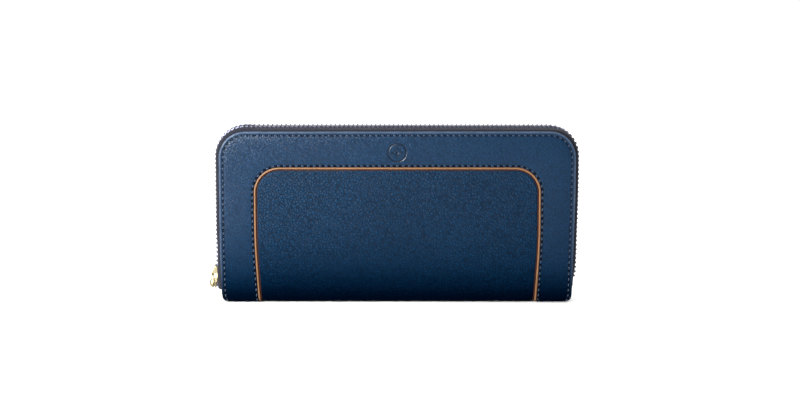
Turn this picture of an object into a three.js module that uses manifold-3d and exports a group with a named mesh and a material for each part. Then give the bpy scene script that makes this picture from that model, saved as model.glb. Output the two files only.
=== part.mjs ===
// Long zip-around wallet, standing on its spine.
// Millimetres, +Z up. X runs along the wallet, -Y is the front cover, +Y the back cover.
// The origin is the middle of the flat spine base.
import * as THREE from "three";
import Module from "manifold-3d";
import { mergeVertices } from "three/addons/utils/BufferGeometryUtils.js";

// ---------------------------------------------------------------- driving dimensions
const HALF_LENGTH = 95.5; // leather edge to middle
const HALF_THICK = 12.0; // outer face of a closed cover to the middle plane
const TOP = 93.3; // leather top edge
const CORNER_R = 14.0; // cover corner radius
const BASE_HALF = 3.49; // half width of the flat strip the spine stands on

const LEATHER = 1.2; // frame leather
const PANEL_D0 = 0.45; // centre panel sits this far below the frame face
const PANEL_D1 = 1.2;
const BOARD_D0 = 1.3;
const BOARD_D1 = 2.1;
const TAPE_D = 1.6; // depth of the middle of the sewn zip tape margin
const TAPE_T = 0.5;
const LINING_D0 = 2.15;
const LINING_D1 = 2.45;
const SLIP_D0 = 2.7;
const SLIP_D1 = 3.2;
const CARD_T = 0.45;
const CARD_STEP = 0.5;
const CARD_D0 = 3.25;

const PIPE_HALF_X = 76.3; // piping centreline on the cover, from the middle
const PIPE_BASE_X = 74.4; // the same where it passes under the spine
const PIPE_TOP = 19.8; // piping centreline below the leather top edge
const PIPE_R = 13.0;
const PIPE_W = 1.4;

const TOOTH_PITCH = 2.42;
const TOOTH_LEN = 0.95; // along the chain
const TOOTH_HALF_H = 1.2; // out of the tape plane
const TOOTH_REACH = 0.9; // past the middle plane
const BEAD_IN = 2.2;
const BEAD_OUT = 3.0;
const TAPE_EDGE = 3.15;
const PLANE_N = 1.2; // zip tape plane outside the leather edge
const LEG_X = 96.95; // the tape plane on the straight left leg, from the middle

const TEETH_Z0 = 14.2; // first tooth beside the parked slider
const TEETH_Z1 = 12.6; // last tooth at the far end
const OPEN_Z0 = 6.6; // zip lower ends
const LEG_TOP = TOP - CORNER_R;

const GAP = 0.1;

// ---------------------------------------------------------------- cover profile
// The outer face seen from the end: a straight wall, three arcs of shrinking radius, then the flat base.
const DEG = Math.PI / 180;
const ARCS = [
  { r: 200, a0: 0, a1: 5 * DEG },
  { r: 60, a0: 5 * DEG, a1: 17 * DEG },
  { r: 5.6, a0: 17 * DEG, a1: 90 * DEG },
];
const ARC_H = ARCS.reduce((t, c) => t + c.r * (Math.sin(c.a1) - Math.sin(c.a0)), 0);
const S_FLAT = TOP - ARC_H;
const S_FOLD = S_FLAT + ARCS[0].r * ARCS[0].a1 + ARCS[1].r * (ARCS[1].a1 - ARCS[1].a0);
const S_BASE = S_FOLD + ARCS[2].r * (ARCS[2].a1 - ARCS[2].a0);
const S_MID = S_BASE + BASE_HALF;

function profile(s) {
  if (s > S_MID) {
    const p = profile(2 * S_MID - s);
    return { y: -p.y, z: p.z, a: Math.PI - p.a };
  }
  let y = -HALF_THICK;
  let z = TOP;
  if (s <= S_FLAT) return { y, z: z - s, a: 0 };
  z -= S_FLAT;
  s -= S_FLAT;
  for (const c of ARCS) {
    const len = c.r * (c.a1 - c.a0);
    const a = c.a0 + Math.min(s, len) / c.r;
    y += c.r * (Math.cos(c.a0) - Math.cos(a));
    z -= c.r * (Math.sin(a) - Math.sin(c.a0));
    if (s <= len) return { y, z, a };
    s -= len;
  }
  return { y: y + s, z: 0, a: Math.PI / 2 };
}
// A point x along the wallet, s down the outer face and d into the wall. side -1 is the front, +1 the back.
function at(x, s, d, side = -1) {
  const p = profile(s);
  const y = p.y + d * Math.cos(p.a);
  return [x, side < 0 ? y : -y, p.z + d * Math.sin(p.a)];
}
const sOfZ = (z) => {
  let lo = 0;
  let hi = S_BASE;
  for (let i = 0; i < 60; i++) {
    const m = (lo + hi) / 2;
    if (profile(m).z > z) lo = m;
    else hi = m;
  }
  return (lo + hi) / 2;
};
const smooth = (t) => {
  t = Math.min(1, Math.max(0, t));
  return t * t * (3 - 2 * t);
};
// Half width of the leather (each side, sign -1 is the left) and of the piping, by distance down the face.
// Near the floor each end of the leather is rounded off by up to BASE_ROUND.
const TAPER_LEFT = 0.6;
const TAPER_RIGHT = 1.2;
const BASE_ROUND = 1.8;
const edgeX = (s, sign = -1) =>
  HALF_LENGTH -
  (sign < 0 ? TAPER_LEFT * smooth((s - 50) / (S_MID - 50)) : TAPER_RIGHT * smooth((s - 22) / 68)) -
  BASE_ROUND * Math.pow(Math.min(1, Math.max(0, (s - 88) / (S_BASE - 88))), 2);
const pipeX = (s) => PIPE_HALF_X - (PIPE_HALF_X - PIPE_BASE_X) * Math.pow(smooth((s - 48) / (S_MID - 48)), 1.2);

// Places along s where the curved lower wall is cut into flats.
const CURVE_S = [];
{
  const n = [2, 3, 5];
  let s = S_FLAT;
  ARCS.forEach((c, i) => {
    const len = c.r * (c.a1 - c.a0);
    for (let k = 0; k < n[i]; k++) CURVE_S.push(s + (len * k) / n[i]);
    s += len;
  });
  CURVE_S.push(S_BASE);
}

// ---------------------------------------------------------------- mesh helpers
function geometryOf(verts, tris) {
  const pos = new Float32Array(verts.flat());
  let vol = 0;
  for (const [a, b, c] of tris) {
    const [ax, ay, az] = verts[a];
    const [bx, by, bz] = verts[b];
    const [cx, cy, cz] = verts[c];
    vol += ax * (by * cz - bz * cy) - ay * (bx * cz - bz * cx) + az * (bx * cy - by * cx);
  }
  const index = vol < 0 ? tris.flatMap(([a, b, c]) => [a, c, b]) : tris.flat();
  const g = new THREE.BufferGeometry();
  g.setAttribute("position", new THREE.BufferAttribute(pos, 3));
  g.setIndex(index);
  g.computeVertexNormals();
  return g;
}
// Skins a list of closed rings, each with the same number of points, and caps both ends.
function loft(rings) {
  const n = rings[0].length;
  const verts = rings.flat();
  const tris = [];
  for (let i = 0; i + 1 < rings.length; i++)
    for (let k = 0; k < n; k++) {
      const a = i * n + k;
      const b = i * n + ((k + 1) % n);
      tris.push([a, b, b + n], [a, b + n, a + n]);
    }
  const last = (rings.length - 1) * n;
  for (const [base, flip] of [
    [0, true],
    [last, false],
  ]) {
    // a strip of triangles, which suits the thin bent sections used here
    let lo = 0;
    let hi = n - 1;
    let turn = true;
    while (hi - lo > 1) {
      const t = turn ? [lo, lo + 1, hi] : [lo, hi - 1, hi];
      if (turn) lo++;
      else hi--;
      turn = !turn;
      tris.push(flip ? [base + t[0], base + t[2], base + t[1]] : t.map((q) => base + q));
    }
  }
  return geometryOf(verts, tris);
}
// A sheet between two edges given as [x, s] pairs, from depth d0 to d1.
function sheet(edgeA, edgeB, d0, d1, side = -1) {
  return loft(
    edgeA.map(([xa, sa], i) => {
      const [xb, sb] = edgeB[i];
      return [at(xa, sa, d0, side), at(xb, sb, d0, side), at(xb, sb, d1, side), at(xa, sa, d1, side)];
    }),
  );
}
const stations = (s0, s1, extra = []) =>
  [...new Set([s0, ...CURVE_S.filter((s) => s > s0 + 0.3 && s < s1 - 0.3), ...extra.filter((s) => s > s0 && s < s1), s1])].sort(
    (a, b) => a - b,
  );
// A panel between two side edges; corner rounds its two upper corners.
function panel(s0, s1, xl, xr, d0, d1, side = -1, corner = 0) {
  const left = typeof xl === "function" ? xl : () => xl;
  const right = typeof xr === "function" ? xr : () => xr;
  const rows = [];
  if (corner)
    for (let k = 6; k > 0; k--) {
      const a = (k / 6) * (Math.PI / 2);
      rows.push([s0 + corner * (1 - Math.sin(a)), corner * (1 - Math.cos(a))]);
    }
  rows.push(...stations(s0 + corner, s1).map((s) => [s, 0]));
  return sheet(
    rows.map(([s, pull]) => [left(s) + pull, s]),
    rows.map(([s, pull]) => [right(s) - pull, s]),
    d0,
    d1,
    side,
  );
}

const wasm = await Module();
wasm.setup();
function solid(geometry) {
  let g = geometry.index ? geometry.clone() : geometry.clone();
  g.deleteAttribute("normal");
  g.deleteAttribute("uv");
  g = mergeVertices(g, 1e-4);
  return new wasm.Manifold(
    new wasm.Mesh({
      numProp: 3,
      vertProperties: new Float32Array(g.attributes.position.array),
      triVerts: new Uint32Array(g.index.array),
    }),
  );
}
function geometry(manifold) {
  const m = manifold.getMesh();
  const g = new THREE.BufferGeometry();
  const p = new Float32Array(m.numVert * 3);
  for (let i = 0; i < m.numVert; i++)
    for (let k = 0; k < 3; k++) p[3 * i + k] = m.vertProperties[i * m.numProp + k];
  g.setAttribute("position", new THREE.BufferAttribute(p, 3));
  g.setIndex(Array.from(m.triVerts));
  g.computeVertexNormals();
  return g;
}
const box = (x0, x1, y0, y1, z0, z1) =>
  new THREE.BoxGeometry(x1 - x0, y1 - y0, z1 - z0).translate((x0 + x1) / 2, (y0 + y1) / 2, (z0 + z1) / 2);
// A flat plate with a given outline, extruded along its own thickness.
function plate(points, t0, t1) {
  const shape = new THREE.Shape(points.map(([u, v]) => new THREE.Vector2(u, v)));
  return new THREE.ExtrudeGeometry(shape, { depth: t1 - t0, bevelEnabled: false }).translate(0, 0, t0);
}

// ---------------------------------------------------------------- materials
const mat = (color, roughness, metalness = 0) => new THREE.MeshStandardMaterial({ color, roughness, metalness });
const M = {
  frame: mat(0x2f4a6b, 0.5),
  grain: mat(0x21405f, 0.6),
  tan: mat(0xb8763f, 0.5),
  board: mat(0x8a7d68, 0.9),
  lining: mat(0x1d2a40, 0.9),
  inner: mat(0x26405e, 0.6),
  tape: mat(0x2a2c3a, 0.9),
  teeth: mat(0x55565c, 0.35, 1),
  gold: mat(0xd9bd7a, 0.25, 1),
  coil: mat(0x23283a, 0.5),
};
const root = new THREE.Group();
root.name = "zip_around_wallet";
const groups = {};
for (const n of ["spine", "front_cover", "back_cover", "zip_slider", "zip_pull", "coin_slider", "coin_pull"]) {
  groups[n] = new THREE.Group();
  groups[n].name = n + "_group";
}
root.add(groups.spine, groups.front_cover, groups.back_cover);
groups.front_cover.add(groups.zip_slider);
groups.zip_slider.add(groups.zip_pull);
groups.spine.add(groups.coin_slider);
groups.coin_slider.add(groups.coin_pull);
function add(group, name, g, material) {
  const m = new THREE.Mesh(g, material);
  m.name = name;
  groups[group].add(m);
  return m;
}

// ---------------------------------------------------------------- covers
// The frame leather's outer and inner edges, as matching [x, s] pairs from the left fold round to the right fold.
function frameEdges(inset, pipeOut) {
  const outer = [];
  const inner = [];
  const s1 = S_FOLD - GAP;
  const sCorner = CORNER_R;
  const legS = stations(PIPE_TOP + PIPE_R, s1, [55, 68]).reverse();
  for (const s of legS) {
    outer.push([-(edgeX(s) - inset), s]);
    inner.push([-(pipeX(s) + pipeOut), s]);
  }
  const n = 6;
  const r = PIPE_R + pipeOut;
  for (let k = 0; k <= n; k++) {
    const a = (k / n) * (Math.PI / 2);
    const ro = sCorner - inset;
    outer.push([-(HALF_LENGTH - sCorner + ro * Math.cos(a)), sCorner - ro * Math.sin(a)]);
    if (k > 0) inner.push([-(PIPE_HALF_X - PIPE_R + r * Math.cos(a)), PIPE_TOP + PIPE_R - r * Math.sin(a)]);
    else inner.push([-(PIPE_HALF_X + pipeOut), PIPE_TOP + PIPE_R - 1.2]);
  }
  const right = (list, x2) => [...list].reverse().map(([x, s]) => [x2(x, s), s]);
  const legEdge = (x, s) => (s > sCorner + 0.1 ? edgeX(s, 1) - inset : -x);
  return [
    [...outer, ...right(outer, legEdge)],
    [...inner, ...right(inner, (x) => -x)],
  ];
}

for (const [name, side] of [
  ["front", -1],
  ["back", 1],
]) {
  const body = name + "_cover";
  const [outer, inner] = frameEdges(0, PIPE_W / 2 + 0.1);
  add(body, name + "_frame_panel", sheet(outer, inner, 0, LEATHER, side), M.frame);

  const [, po] = frameEdges(0, PIPE_W / 2);
  const [, pi] = frameEdges(0, -PIPE_W / 2);
  add(body, name + "_piping", sheet(po, pi, 0, LEATHER, side), M.tan);

  // centre panel, with its two rounded upper corners
  const inX = (s) => pipeX(s) - PIPE_W / 2 - 0.1;
  add(
    body,
    name + "_centre_panel",
    panel(PIPE_TOP + PIPE_W / 2 + 0.1, S_FOLD - GAP, (s) => -inX(s), inX, PANEL_D0, PANEL_D1, side, PIPE_R - PIPE_W / 2 - 0.1),
    M.grain,
  );

  add(body, name + "_board", panel(7, sOfZ(14), -88.2, 87.4, BOARD_D0, BOARD_D1, side, 7), M.board);
  add(
    body,
    name + "_lining",
    panel(0.8, S_FOLD - 0.4, (s) => -(edgeX(s) - 0.8), (s) => edgeX(s, 1) - 0.8, LINING_D0, LINING_D1, side, 13.2),
    M.lining,
  );
  add(body, name + "_slip_panel", panel(6.5, sOfZ(9), -90, 90, SLIP_D0, SLIP_D1, side, 6), M.inner);
}

// card pockets, stacked from the cover inwards, each one lower than the last
const CARD_TOPS = [10, 22, 34, 46];
const BOTTOM_Z = 10.5;
for (const [col, x0, x1] of [
  ["left", -90, -1.2],
  ["right", 1.2, 90],
]) {
  for (let i = 0; i < 4; i++) {
    const d0 = CARD_D0 + CARD_STEP * i;
    add("front_cover", `front_card_${col}_${i + 1}`, panel(CARD_TOPS[i], sOfZ(BOTTOM_Z), x0, x1, d0, d0 + CARD_T, -1), M.inner);
  }
  for (let i = 0; i < 2; i++) {
    const d0 = CARD_D0 + CARD_STEP * i;
    add("back_cover", `back_card_${col}_${i + 1}`, panel(CARD_TOPS[i] + 2, sOfZ(BOTTOM_Z), x0, x1, d0, d0 + CARD_T, 1), M.inner);
  }
}
add("back_cover", "back_wide_pocket", panel(38, sOfZ(BOTTOM_Z), -90, 90, CARD_D0 + 2 * CARD_STEP, CARD_D0 + 2 * CARD_STEP + CARD_T, 1), M.inner);

// ---------------------------------------------------------------- spine
{
  const s0 = S_FOLD + GAP;
  const s1 = 2 * S_MID - s0;
  const half = CURVE_S.filter((s) => s > s0 + 0.3);
  const ss = [s0, ...half, ...half.map((s) => 2 * S_MID - s).reverse(), s1];
  const ex = (s, sign) => edgeX(Math.min(s, 2 * S_MID - s), sign);
  const px = (s) => pipeX(Math.min(s, 2 * S_MID - s));
  const strip = (fa, fb, d0, d1) => sheet(ss.map((s) => [fa(s), s]), ss.map((s) => [fb(s), s]), d0, d1);
  const w = PIPE_W / 2;
  add("spine", "spine_centre_panel", strip((s) => -(px(s) - w - 0.1), (s) => px(s) - w - 0.1, 0, PANEL_D1), M.grain);
  add("spine", "spine_piping_left", strip((s) => -(px(s) + w), (s) => -(px(s) - w), 0, LEATHER), M.tan);
  add("spine", "spine_piping_right", strip((s) => px(s) - w, (s) => px(s) + w, 0, LEATHER), M.tan);
  add("spine", "spine_frame_left", strip((s) => -ex(s, -1), (s) => -(px(s) + w + 0.1), 0, LEATHER), M.frame);
  add("spine", "spine_frame_right", strip((s) => px(s) + w + 0.1, (s) => ex(s, 1), 0, LEATHER), M.frame);
  add("spine", "spine_lining", strip((s) => -(ex(s, -1) - 0.8), (s) => ex(s, 1) - 0.8, LEATHER + 0.1, LEATHER + 0.5), M.lining);
}

// ---------------------------------------------------------------- main zip
// How far outside the leather edge the tape plane lies: dead straight on the left leg, tucked in at the far end.
function planeN(sign, z, s) {
  if (sign < 0) return LEG_X - edgeX(s);
  if (z < 17.5) return PLANE_N - 2.6 * Math.pow((17.5 - z) / 10.9, 1.8);
  return PLANE_N;
}
// Stations on the leather outline: x, s, outward direction (nx, nz) and the tape plane there.
function outline(part) {
  const list = [];
  const leg = (sign, zs) =>
    zs.forEach((z) => {
      const s = z > ARC_H ? TOP - z : sOfZ(z);
      list.push({ x: sign * edgeX(s, sign), s, nx: sign, nz: 0, n: planeN(sign, z, s), z });
    });
  if (part === "leg") {
    leg(-1, [OPEN_Z0, 9, 13, 17, 20.6, 23, 25.5, 28.5, 31.5, 36, 45, 60, LEG_TOP - 0.3]);
    return list;
  }
  const arc = (sign, k0, k1) => {
    for (let k = k0; k <= k1; k++) {
      const a = sign < 0 ? Math.PI - (k / 10) * (Math.PI / 2) : Math.PI / 2 - (k / 10) * (Math.PI / 2);
      const nx = Math.cos(a);
      const nz = Math.sin(a);
      const x = sign * (HALF_LENGTH - CORNER_R) + CORNER_R * nx;
      const n = sign < 0 ? PLANE_N + (LEG_X - HALF_LENGTH - PLANE_N) * (1 - k / 10) : PLANE_N;
      list.push({ x, s: CORNER_R - CORNER_R * nz, nx, nz, n, z: TOP - CORNER_R + CORNER_R * nz });
    }
  };
  arc(-1, 0, 10);
  arc(1, 0, 10);
  leg(1, [60, 40, 30, 24, 21, 18, 15, 12, 9, OPEN_Z0]);
  return list;
}
// The tape's section: a margin sewn under the leather, then a wall that turns towards the other cover.
function tape(side) {
  const rings = [...outline("leg"), ...outline("main").slice(1)].map((q) => {
    const ya = at(q.x, q.s, TAPE_D, -1)[1];
    const z = at(q.x, q.s, TAPE_D, -1)[2];
    const mid = [
      [-6, ya],
      [-0.1, ya],
      [0.35 + 0.3 * (q.n - 0.35), ya + 1.0],
      [q.n - 0.1, -5.0],
      [q.n, -TAPE_EDGE],
    ];
    const up = [];
    const down = [];
    mid.forEach(([n, y], i) => {
      const [an, ay] = mid[Math.max(0, i - 1)];
      const [bn, by] = mid[Math.min(mid.length - 1, i + 1)];
      const l = Math.hypot(bn - an, by - ay);
      const ox = (-(by - ay) / l) * (TAPE_T / 2);
      const oy = ((bn - an) / l) * (TAPE_T / 2);
      up.push([n + ox, y + oy]);
      down.push([n - ox, y - oy]);
    });
    return [...up, ...down.reverse()].map(([n, y]) => [q.x + n * q.nx, side < 0 ? y : -y, z + n * q.nz]);
  });
  return loft(rings);
}
// The whole zip path, from the low end of the left leg over the top to the low end of the right one, along the tape plane.
const zipPath = [];
{
  for (const q of [...outline("leg"), ...outline("main")]) {
    const z = q.nz === 0 ? at(q.x, q.s, TAPE_D, -1)[2] : q.z;
    const p = { x: q.x + q.n * q.nx, z: z + q.n * q.nz, nx: q.nx, nz: q.nz, t: 0 };
    const last = zipPath[zipPath.length - 1];
    if (last) p.t = last.t + Math.hypot(p.x - last.x, p.z - last.z);
    if (!last || p.t - last.t > 1e-3) zipPath.push(p);
  }
}
function alongZip(t) {
  let i = 1;
  while (i < zipPath.length - 1 && zipPath[i].t < t) i++;
  const a = zipPath[i - 1];
  const b = zipPath[i];
  const f = (t - a.t) / (b.t - a.t);
  const mix = (u, v) => u + (v - u) * f;
  const nx = mix(a.nx, b.nx);
  const nz = mix(a.nz, b.nz);
  const l = Math.hypot(nx, nz);
  return { x: mix(a.x, b.x), z: mix(a.z, b.z), nx: nx / l, nz: nz / l };
}
// A row of teeth on its bead. The two rows are half a pitch apart, and each is cut in two at the first corner.
function teeth(part, side) {
  const where = alongZip;
  const zipLength = zipPath[zipPath.length - 1].t;
  let t0 = 0;
  while (where(t0).z < TEETH_Z0) t0 += 0.01;
  if (side > 0) t0 += TOOTH_PITCH / 2;
  const starts = [];
  for (let t = t0; t + TOOTH_LEN < zipLength; t += TOOTH_PITCH) {
    const q = where(t + TOOTH_LEN);
    const onLeg = q.x < 0 && q.z < LEG_TOP;
    if (q.x > 0 && q.z < TEETH_Z1) break;
    if (onLeg === (part === "leg")) starts.push(t);
  }
  const cells = [];
  const bead = (TOOTH_PITCH - TOOTH_LEN) / 2 - 0.15;
  cells.push([starts[0] - bead, starts[0], false]);
  starts.forEach((t, i) => {
    cells.push([t, t + TOOTH_LEN, true]);
    cells.push([t + TOOTH_LEN, i + 1 < starts.length ? starts[i + 1] : t + TOOTH_LEN + bead, false]);
  });
  const verts = [];
  const tris = [];
  const sgn = side < 0 ? 1 : -1;
  const put = (t, y, h) => {
    const q = where(t);
    verts.push([q.x + h * q.nx, sgn * y, q.z + h * q.nz]);
    return verts.length - 1;
  };
  const H = TOOTH_HALF_H;
  // per boundary: bead outer low/high, bead inner low/high
  const cut = (t) => [put(t, -BEAD_OUT, -H), put(t, -BEAD_OUT, H), put(t, -BEAD_IN, H), put(t, -BEAD_IN, -H)];
  const quad = (a, b, c, d) => tris.push([a, b, c], [a, c, d]);
  let prev = cut(cells[0][0]);
  quad(prev[0], prev[1], prev[2], prev[3]);
  for (const [t0, t1, tooth] of cells) {
    const next = cut(t1);
    quad(prev[1], prev[0], next[0], next[1]);
    quad(prev[2], prev[1], next[1], next[2]);
    quad(prev[0], prev[3], next[3], next[0]);
    if (!tooth) quad(prev[3], prev[2], next[2], next[3]);
    else {
      const hs = H * 0.8; // the tip is a little thinner than the root
      const a = put(t0, TOOTH_REACH, -hs);
      const b = put(t0, TOOTH_REACH, hs);
      const c = put(t1, TOOTH_REACH, hs);
      const d = put(t1, TOOTH_REACH, -hs);
      quad(prev[3], prev[2], b, a);
      quad(prev[2], next[2], c, b);
      quad(next[2], next[3], d, c);
      quad(next[3], prev[3], a, d);
      quad(a, b, c, d);
    }
    prev = next;
  }
  quad(prev[3], prev[2], prev[1], prev[0]);
  return geometryOf(verts, tris);
}
for (const [name, side] of [
  ["front", -1],
  ["back", 1],
]) {
  const body = name + "_cover";
  add(body, `zip_tape_${name}`, tape(side), M.tape);
  add(body, `zip_teeth_${name}`, teeth("main", side), M.teeth);
  add(body, `zip_teeth_${name}_leg`, teeth("leg", side), M.teeth);
}

// top stops beside the slider's wedge, and bottom stops at the far end
const sgnY = { front: -1, back: 1 };
for (const name of ["front", "back"]) {
  const g = sgnY[name];
  const y = [g * 1.2, g * 2.95].sort((a, b) => a - b);
  add(name + "_cover", `zip_top_stop_${name}`, box(-LEG_X - 1.05, -LEG_X + 1.05, y[0], y[1], 7.6, 10.0), M.gold);
  const zc = 9.6;
  const xr = edgeX(sOfZ(zc), 1) + planeN(1, zc, sOfZ(zc));
  const y2 = [g * 0.25, g * 3.0].sort((a, b) => a - b);
  add(name + "_cover", `zip_bottom_stop_${name}`, box(xr - 1.15, xr + 1.15, y2[0], y2[1], 8.2, 10.9), M.gold);
}

// ---------------------------------------------------------------- main slider
// Built flat: u along the chain from nose to tail, v across it, w out of the tape plane. Then stood on the left leg.
const SL = { len: 12.6, nose: 4.9, tail: 3.95, in: 1.45, out: 2.2, pinU: 7.6, pinW: 3.3, ear: [[-1.7, 0], [-1.0, 1.5], [-0.5, 1.9], [0.5, 1.9], [1.6, 1.5], [4.6, 0]] };
const SLIDER_Z = 6.7;
const LEG_TRAVEL = 58;
function sliderParts(L, k, pinR, cast) {
  const o = [
    [0.9, -L.nose + 1.4],
    [0, -L.nose + 2.6],
    [0, L.nose - 2.6],
    [0.9, L.nose - 1.4],
    [3.6, L.nose],
    [6.2, L.nose - 0.15],
    [8.2, L.tail],
    [L.len - 0.6, L.tail],
    [L.len, L.tail - 0.7],
    [L.len, -L.tail + 0.7],
    [L.len - 0.6, -L.tail],
    [8.2, -L.tail],
    [6.2, -L.nose + 0.15],
    [3.6, -L.nose],
  ].map(([u, v]) => [u * k, v * k]);
  let s = solid(plate(o, L.in * k, L.out * k)).add(solid(plate(o, -L.out * k, -L.in * k)));
  // wedge between the plates, behind the nose
  const wedge = [
    [0.7, 0],
    [1.6, -0.85],
    [3.0, -0.85],
    [4.6, -0.2],
    [4.6, 0.2],
    [3.0, 0.85],
    [1.6, 0.85],
  ].map(([u, v]) => [u * k, v * k]);
  s = s.add(solid(plate(wedge, -(L.in + 0.05) * k, (L.in + 0.05) * k)));
  // turned-in flanges along both plates, leaving a slot for the tape
  for (const v of [-1, 1])
    for (const w of [-1, 1]) {
      const f = [
        [3.8, v * (L.nose - 0.85)],
        [3.8, v * (L.nose - 0.05)],
        [6.2, v * (L.nose - 0.2)],
        [8.2, v * (L.tail - 0.05)],
        [L.len - 0.7, v * (L.tail - 0.05)],
        [L.len - 0.7, v * (L.tail - 0.62)],
        [8.2, v * (L.tail - 0.62)],
        [6.2, v * (L.nose - 0.85)],
      ].map(([a, b]) => [a * k, b * k]);
      if (v < 0) f.reverse();
      const lo = w < 0 ? -(L.in + 0.05) : 0.6;
      const hi = w < 0 ? -0.6 : L.in + 0.05;
      s = s.add(solid(plate(f, lo * k, hi * k)));
    }
  // two ears that carry the cross pin
  for (const v of [-1, 1]) {
    const ear = new THREE.Shape();
    L.ear.forEach(([a, c], i) => (i ? ear.lineTo(a * k, c * k) : ear.moveTo(a * k, c * k)));
    const g = new THREE.ExtrudeGeometry(ear, { depth: 0.75 * k, bevelEnabled: false });
    g.rotateX(Math.PI / 2); // outline now in u-w, thickness along -v
    g.translate(L.pinU * k, (v > 0 ? 1.35 + 0.75 : -1.35) * k, (L.out - 0.05) * k);
    s = s.add(solid(g));
  }
  // the cross pin: a hole for a separate one, or a cast-in bar
  const rod = new THREE.CylinderGeometry(pinR, pinR, cast ? 3.6 * k : 8 * k, 16).translate(L.pinU * k, 0, L.pinW * k);
  return cast ? s.add(solid(rod)) : s.subtract(solid(rod));
}
const toLeg = new THREE.Matrix4().makeBasis(
  new THREE.Vector3(0, 0, 1), // u goes up the leg
  new THREE.Vector3(0, 1, 0),
  new THREE.Vector3(-1, 0, 0), // w points out of the left side
);
toLeg.setPosition(-LEG_X, 0, SLIDER_Z);
add("zip_slider", "main_slider", geometry(sliderParts(SL, 1, 0.62, false)).applyMatrix4(toLeg), M.gold);
add(
  "zip_slider",
  "main_slider_pin",
  new THREE.CylinderGeometry(0.55, 0.55, 4.2, 16).translate(SL.pinU, 0, SL.pinW).applyMatrix4(toLeg),
  M.gold,
);
// Pull: a knuckle round the pin, a neck between the ears and a long drop-shaped leaf.
function pull(k, length, halfW, t) {
  let s = solid(new THREE.CylinderGeometry(1.15 * k, 1.15 * k, 2.3 * k, 16));
  const neck = 2.4 * k;
  const half = [
    [0, 1.0 * k],
    [neck, 1.0 * k],
  ];
  const n = 12;
  for (let i = 1; i <= n; i++) {
    const q = i / n;
    const grow = smooth(q / 0.62);
    const end = q > 0.62 ? Math.sqrt(Math.max(0, 1 - Math.pow((q - 0.62) / 0.38, 2))) : 1;
    half.push([neck + (length - neck) * q, (1.0 * k + (halfW - 1.0 * k) * grow) * end]);
  }
  const left = half.map(([u, v]) => [-u, v]);
  const right = half.slice(0, -1).reverse().map(([u, v]) => [-u, -v]);
  s = s.add(solid(plate([...left, ...right], -t / 2, t / 2)));
  return s.subtract(solid(new THREE.CylinderGeometry(0.62 * k, 0.62 * k, 6 * k, 16)));
}
// The main pull is a thick drop: a small knuckle, a neck, and a belly with eight facets, fuller on its outer face.
// Each row: distance below the pin, half width, thickness towards the slider, thickness away from it.
const DROP = [
  [0.55, 0.95, 0.5, 0.5],
  [1.5, 0.95, 0.6, 0.65],
  [2.4, 1.35, 0.76, 1.0],
  [3.4, 2.0, 0.9, 1.5],
  [4.5, 2.5, 0.95, 1.9],
  [5.5, 2.6, 0.95, 2.0],
  [6.4, 2.3, 0.85, 1.8],
  [7.1, 1.7, 0.7, 1.35],
  [7.6, 0.95, 0.45, 0.8],
];
function drop() {
  const rings = DROP.map(([u, hw, lo, hi]) =>
    [
      [1, 0.22],
      [0.5, 1],
      [-0.5, 1],
      [-1, 0.22],
      [-1, -0.22],
      [-0.5, -1],
      [0.5, -1],
      [1, -0.22],
    ].map(([v, w]) => [-u, v * hw, w > 0 ? w * hi : w * lo]),
  );
  const body = solid(loft(rings)).add(solid(new THREE.CylinderGeometry(0.95, 0.95, 2.3, 18)));
  return body.subtract(solid(new THREE.CylinderGeometry(0.62, 0.62, 6, 16)));
}
const pullPlace = new THREE.Matrix4().multiplyMatrices(toLeg, new THREE.Matrix4().makeTranslation(SL.pinU, 0, SL.pinW));
add("zip_pull", "main_pull", geometry(drop()).applyMatrix4(pullPlace), M.gold);

// ---------------------------------------------------------------- centre coin pocket
const POCKET_X = 88;
const POCKET_Z0 = 9;
const POCKET_Z1 = 79.0;
const COIN_Z = 79.4; // plane of the pocket's own zip
const alongX = new THREE.Matrix4().makeBasis(new THREE.Vector3(0, 1, 0), new THREE.Vector3(0, 0, 1), new THREE.Vector3(1, 0, 0));
for (const [name, g] of [
  ["front", -1],
  ["back", 1],
]) {
  // the wall stands upright and flares towards the top, where the zip tape lies across it
  const wall = [
    [1.8, POCKET_Z0],
    [2.3, POCKET_Z0],
    [2.3, 64],
    [3.9, POCKET_Z1],
    [3.35, POCKET_Z1],
    [1.8, 64.4],
  ].map(([y, z]) => [g * y, z]);
  add("spine", `coin_pocket_${name}`, plate(wall, -POCKET_X, POCKET_X).applyMatrix4(alongX), M.inner);
  const tapeSection = [
    [1.3, COIN_Z - 0.17],
    [3.9, COIN_Z - 0.17],
    [3.9, COIN_Z + 0.17],
    [1.3, COIN_Z + 0.17],
  ].map(([y, z]) => [g * y, z]);
  add("spine", `coin_zip_tape_${name}`, plate(tapeSection, -84, 84).applyMatrix4(alongX), M.tape);
  const y = [g * 0.15, g * 1.2].sort((a, b) => a - b);
  add("spine", `coin_zip_coil_${name}`, box(-78, 72.6, y[0], y[1], COIN_Z - 0.65, COIN_Z + 0.65), M.coil);
}
for (const [name, g] of [
  ["left", -1],
  ["right", 1],
]) {
  const side = [
    [-2.3, POCKET_Z0 - 1.3],
    [2.3, POCKET_Z0 - 1.3],
    [2.3, 64],
    [3.9, POCKET_Z1],
    [-3.9, POCKET_Z1],
    [-2.3, 64],
  ];
  const x = [g * (POCKET_X + 0.3), g * (POCKET_X + 1.3)].sort((a, b) => a - b);
  add("spine", `coin_pocket_side_${name}`, plate(side, x[0], x[1]).applyMatrix4(alongX), M.inner);
}
add("spine", "coin_pocket_base", box(-POCKET_X, POCKET_X, -2.3, 2.3, POCKET_Z0 - 1.3, POCKET_Z0 - 0.3), M.inner);
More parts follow.
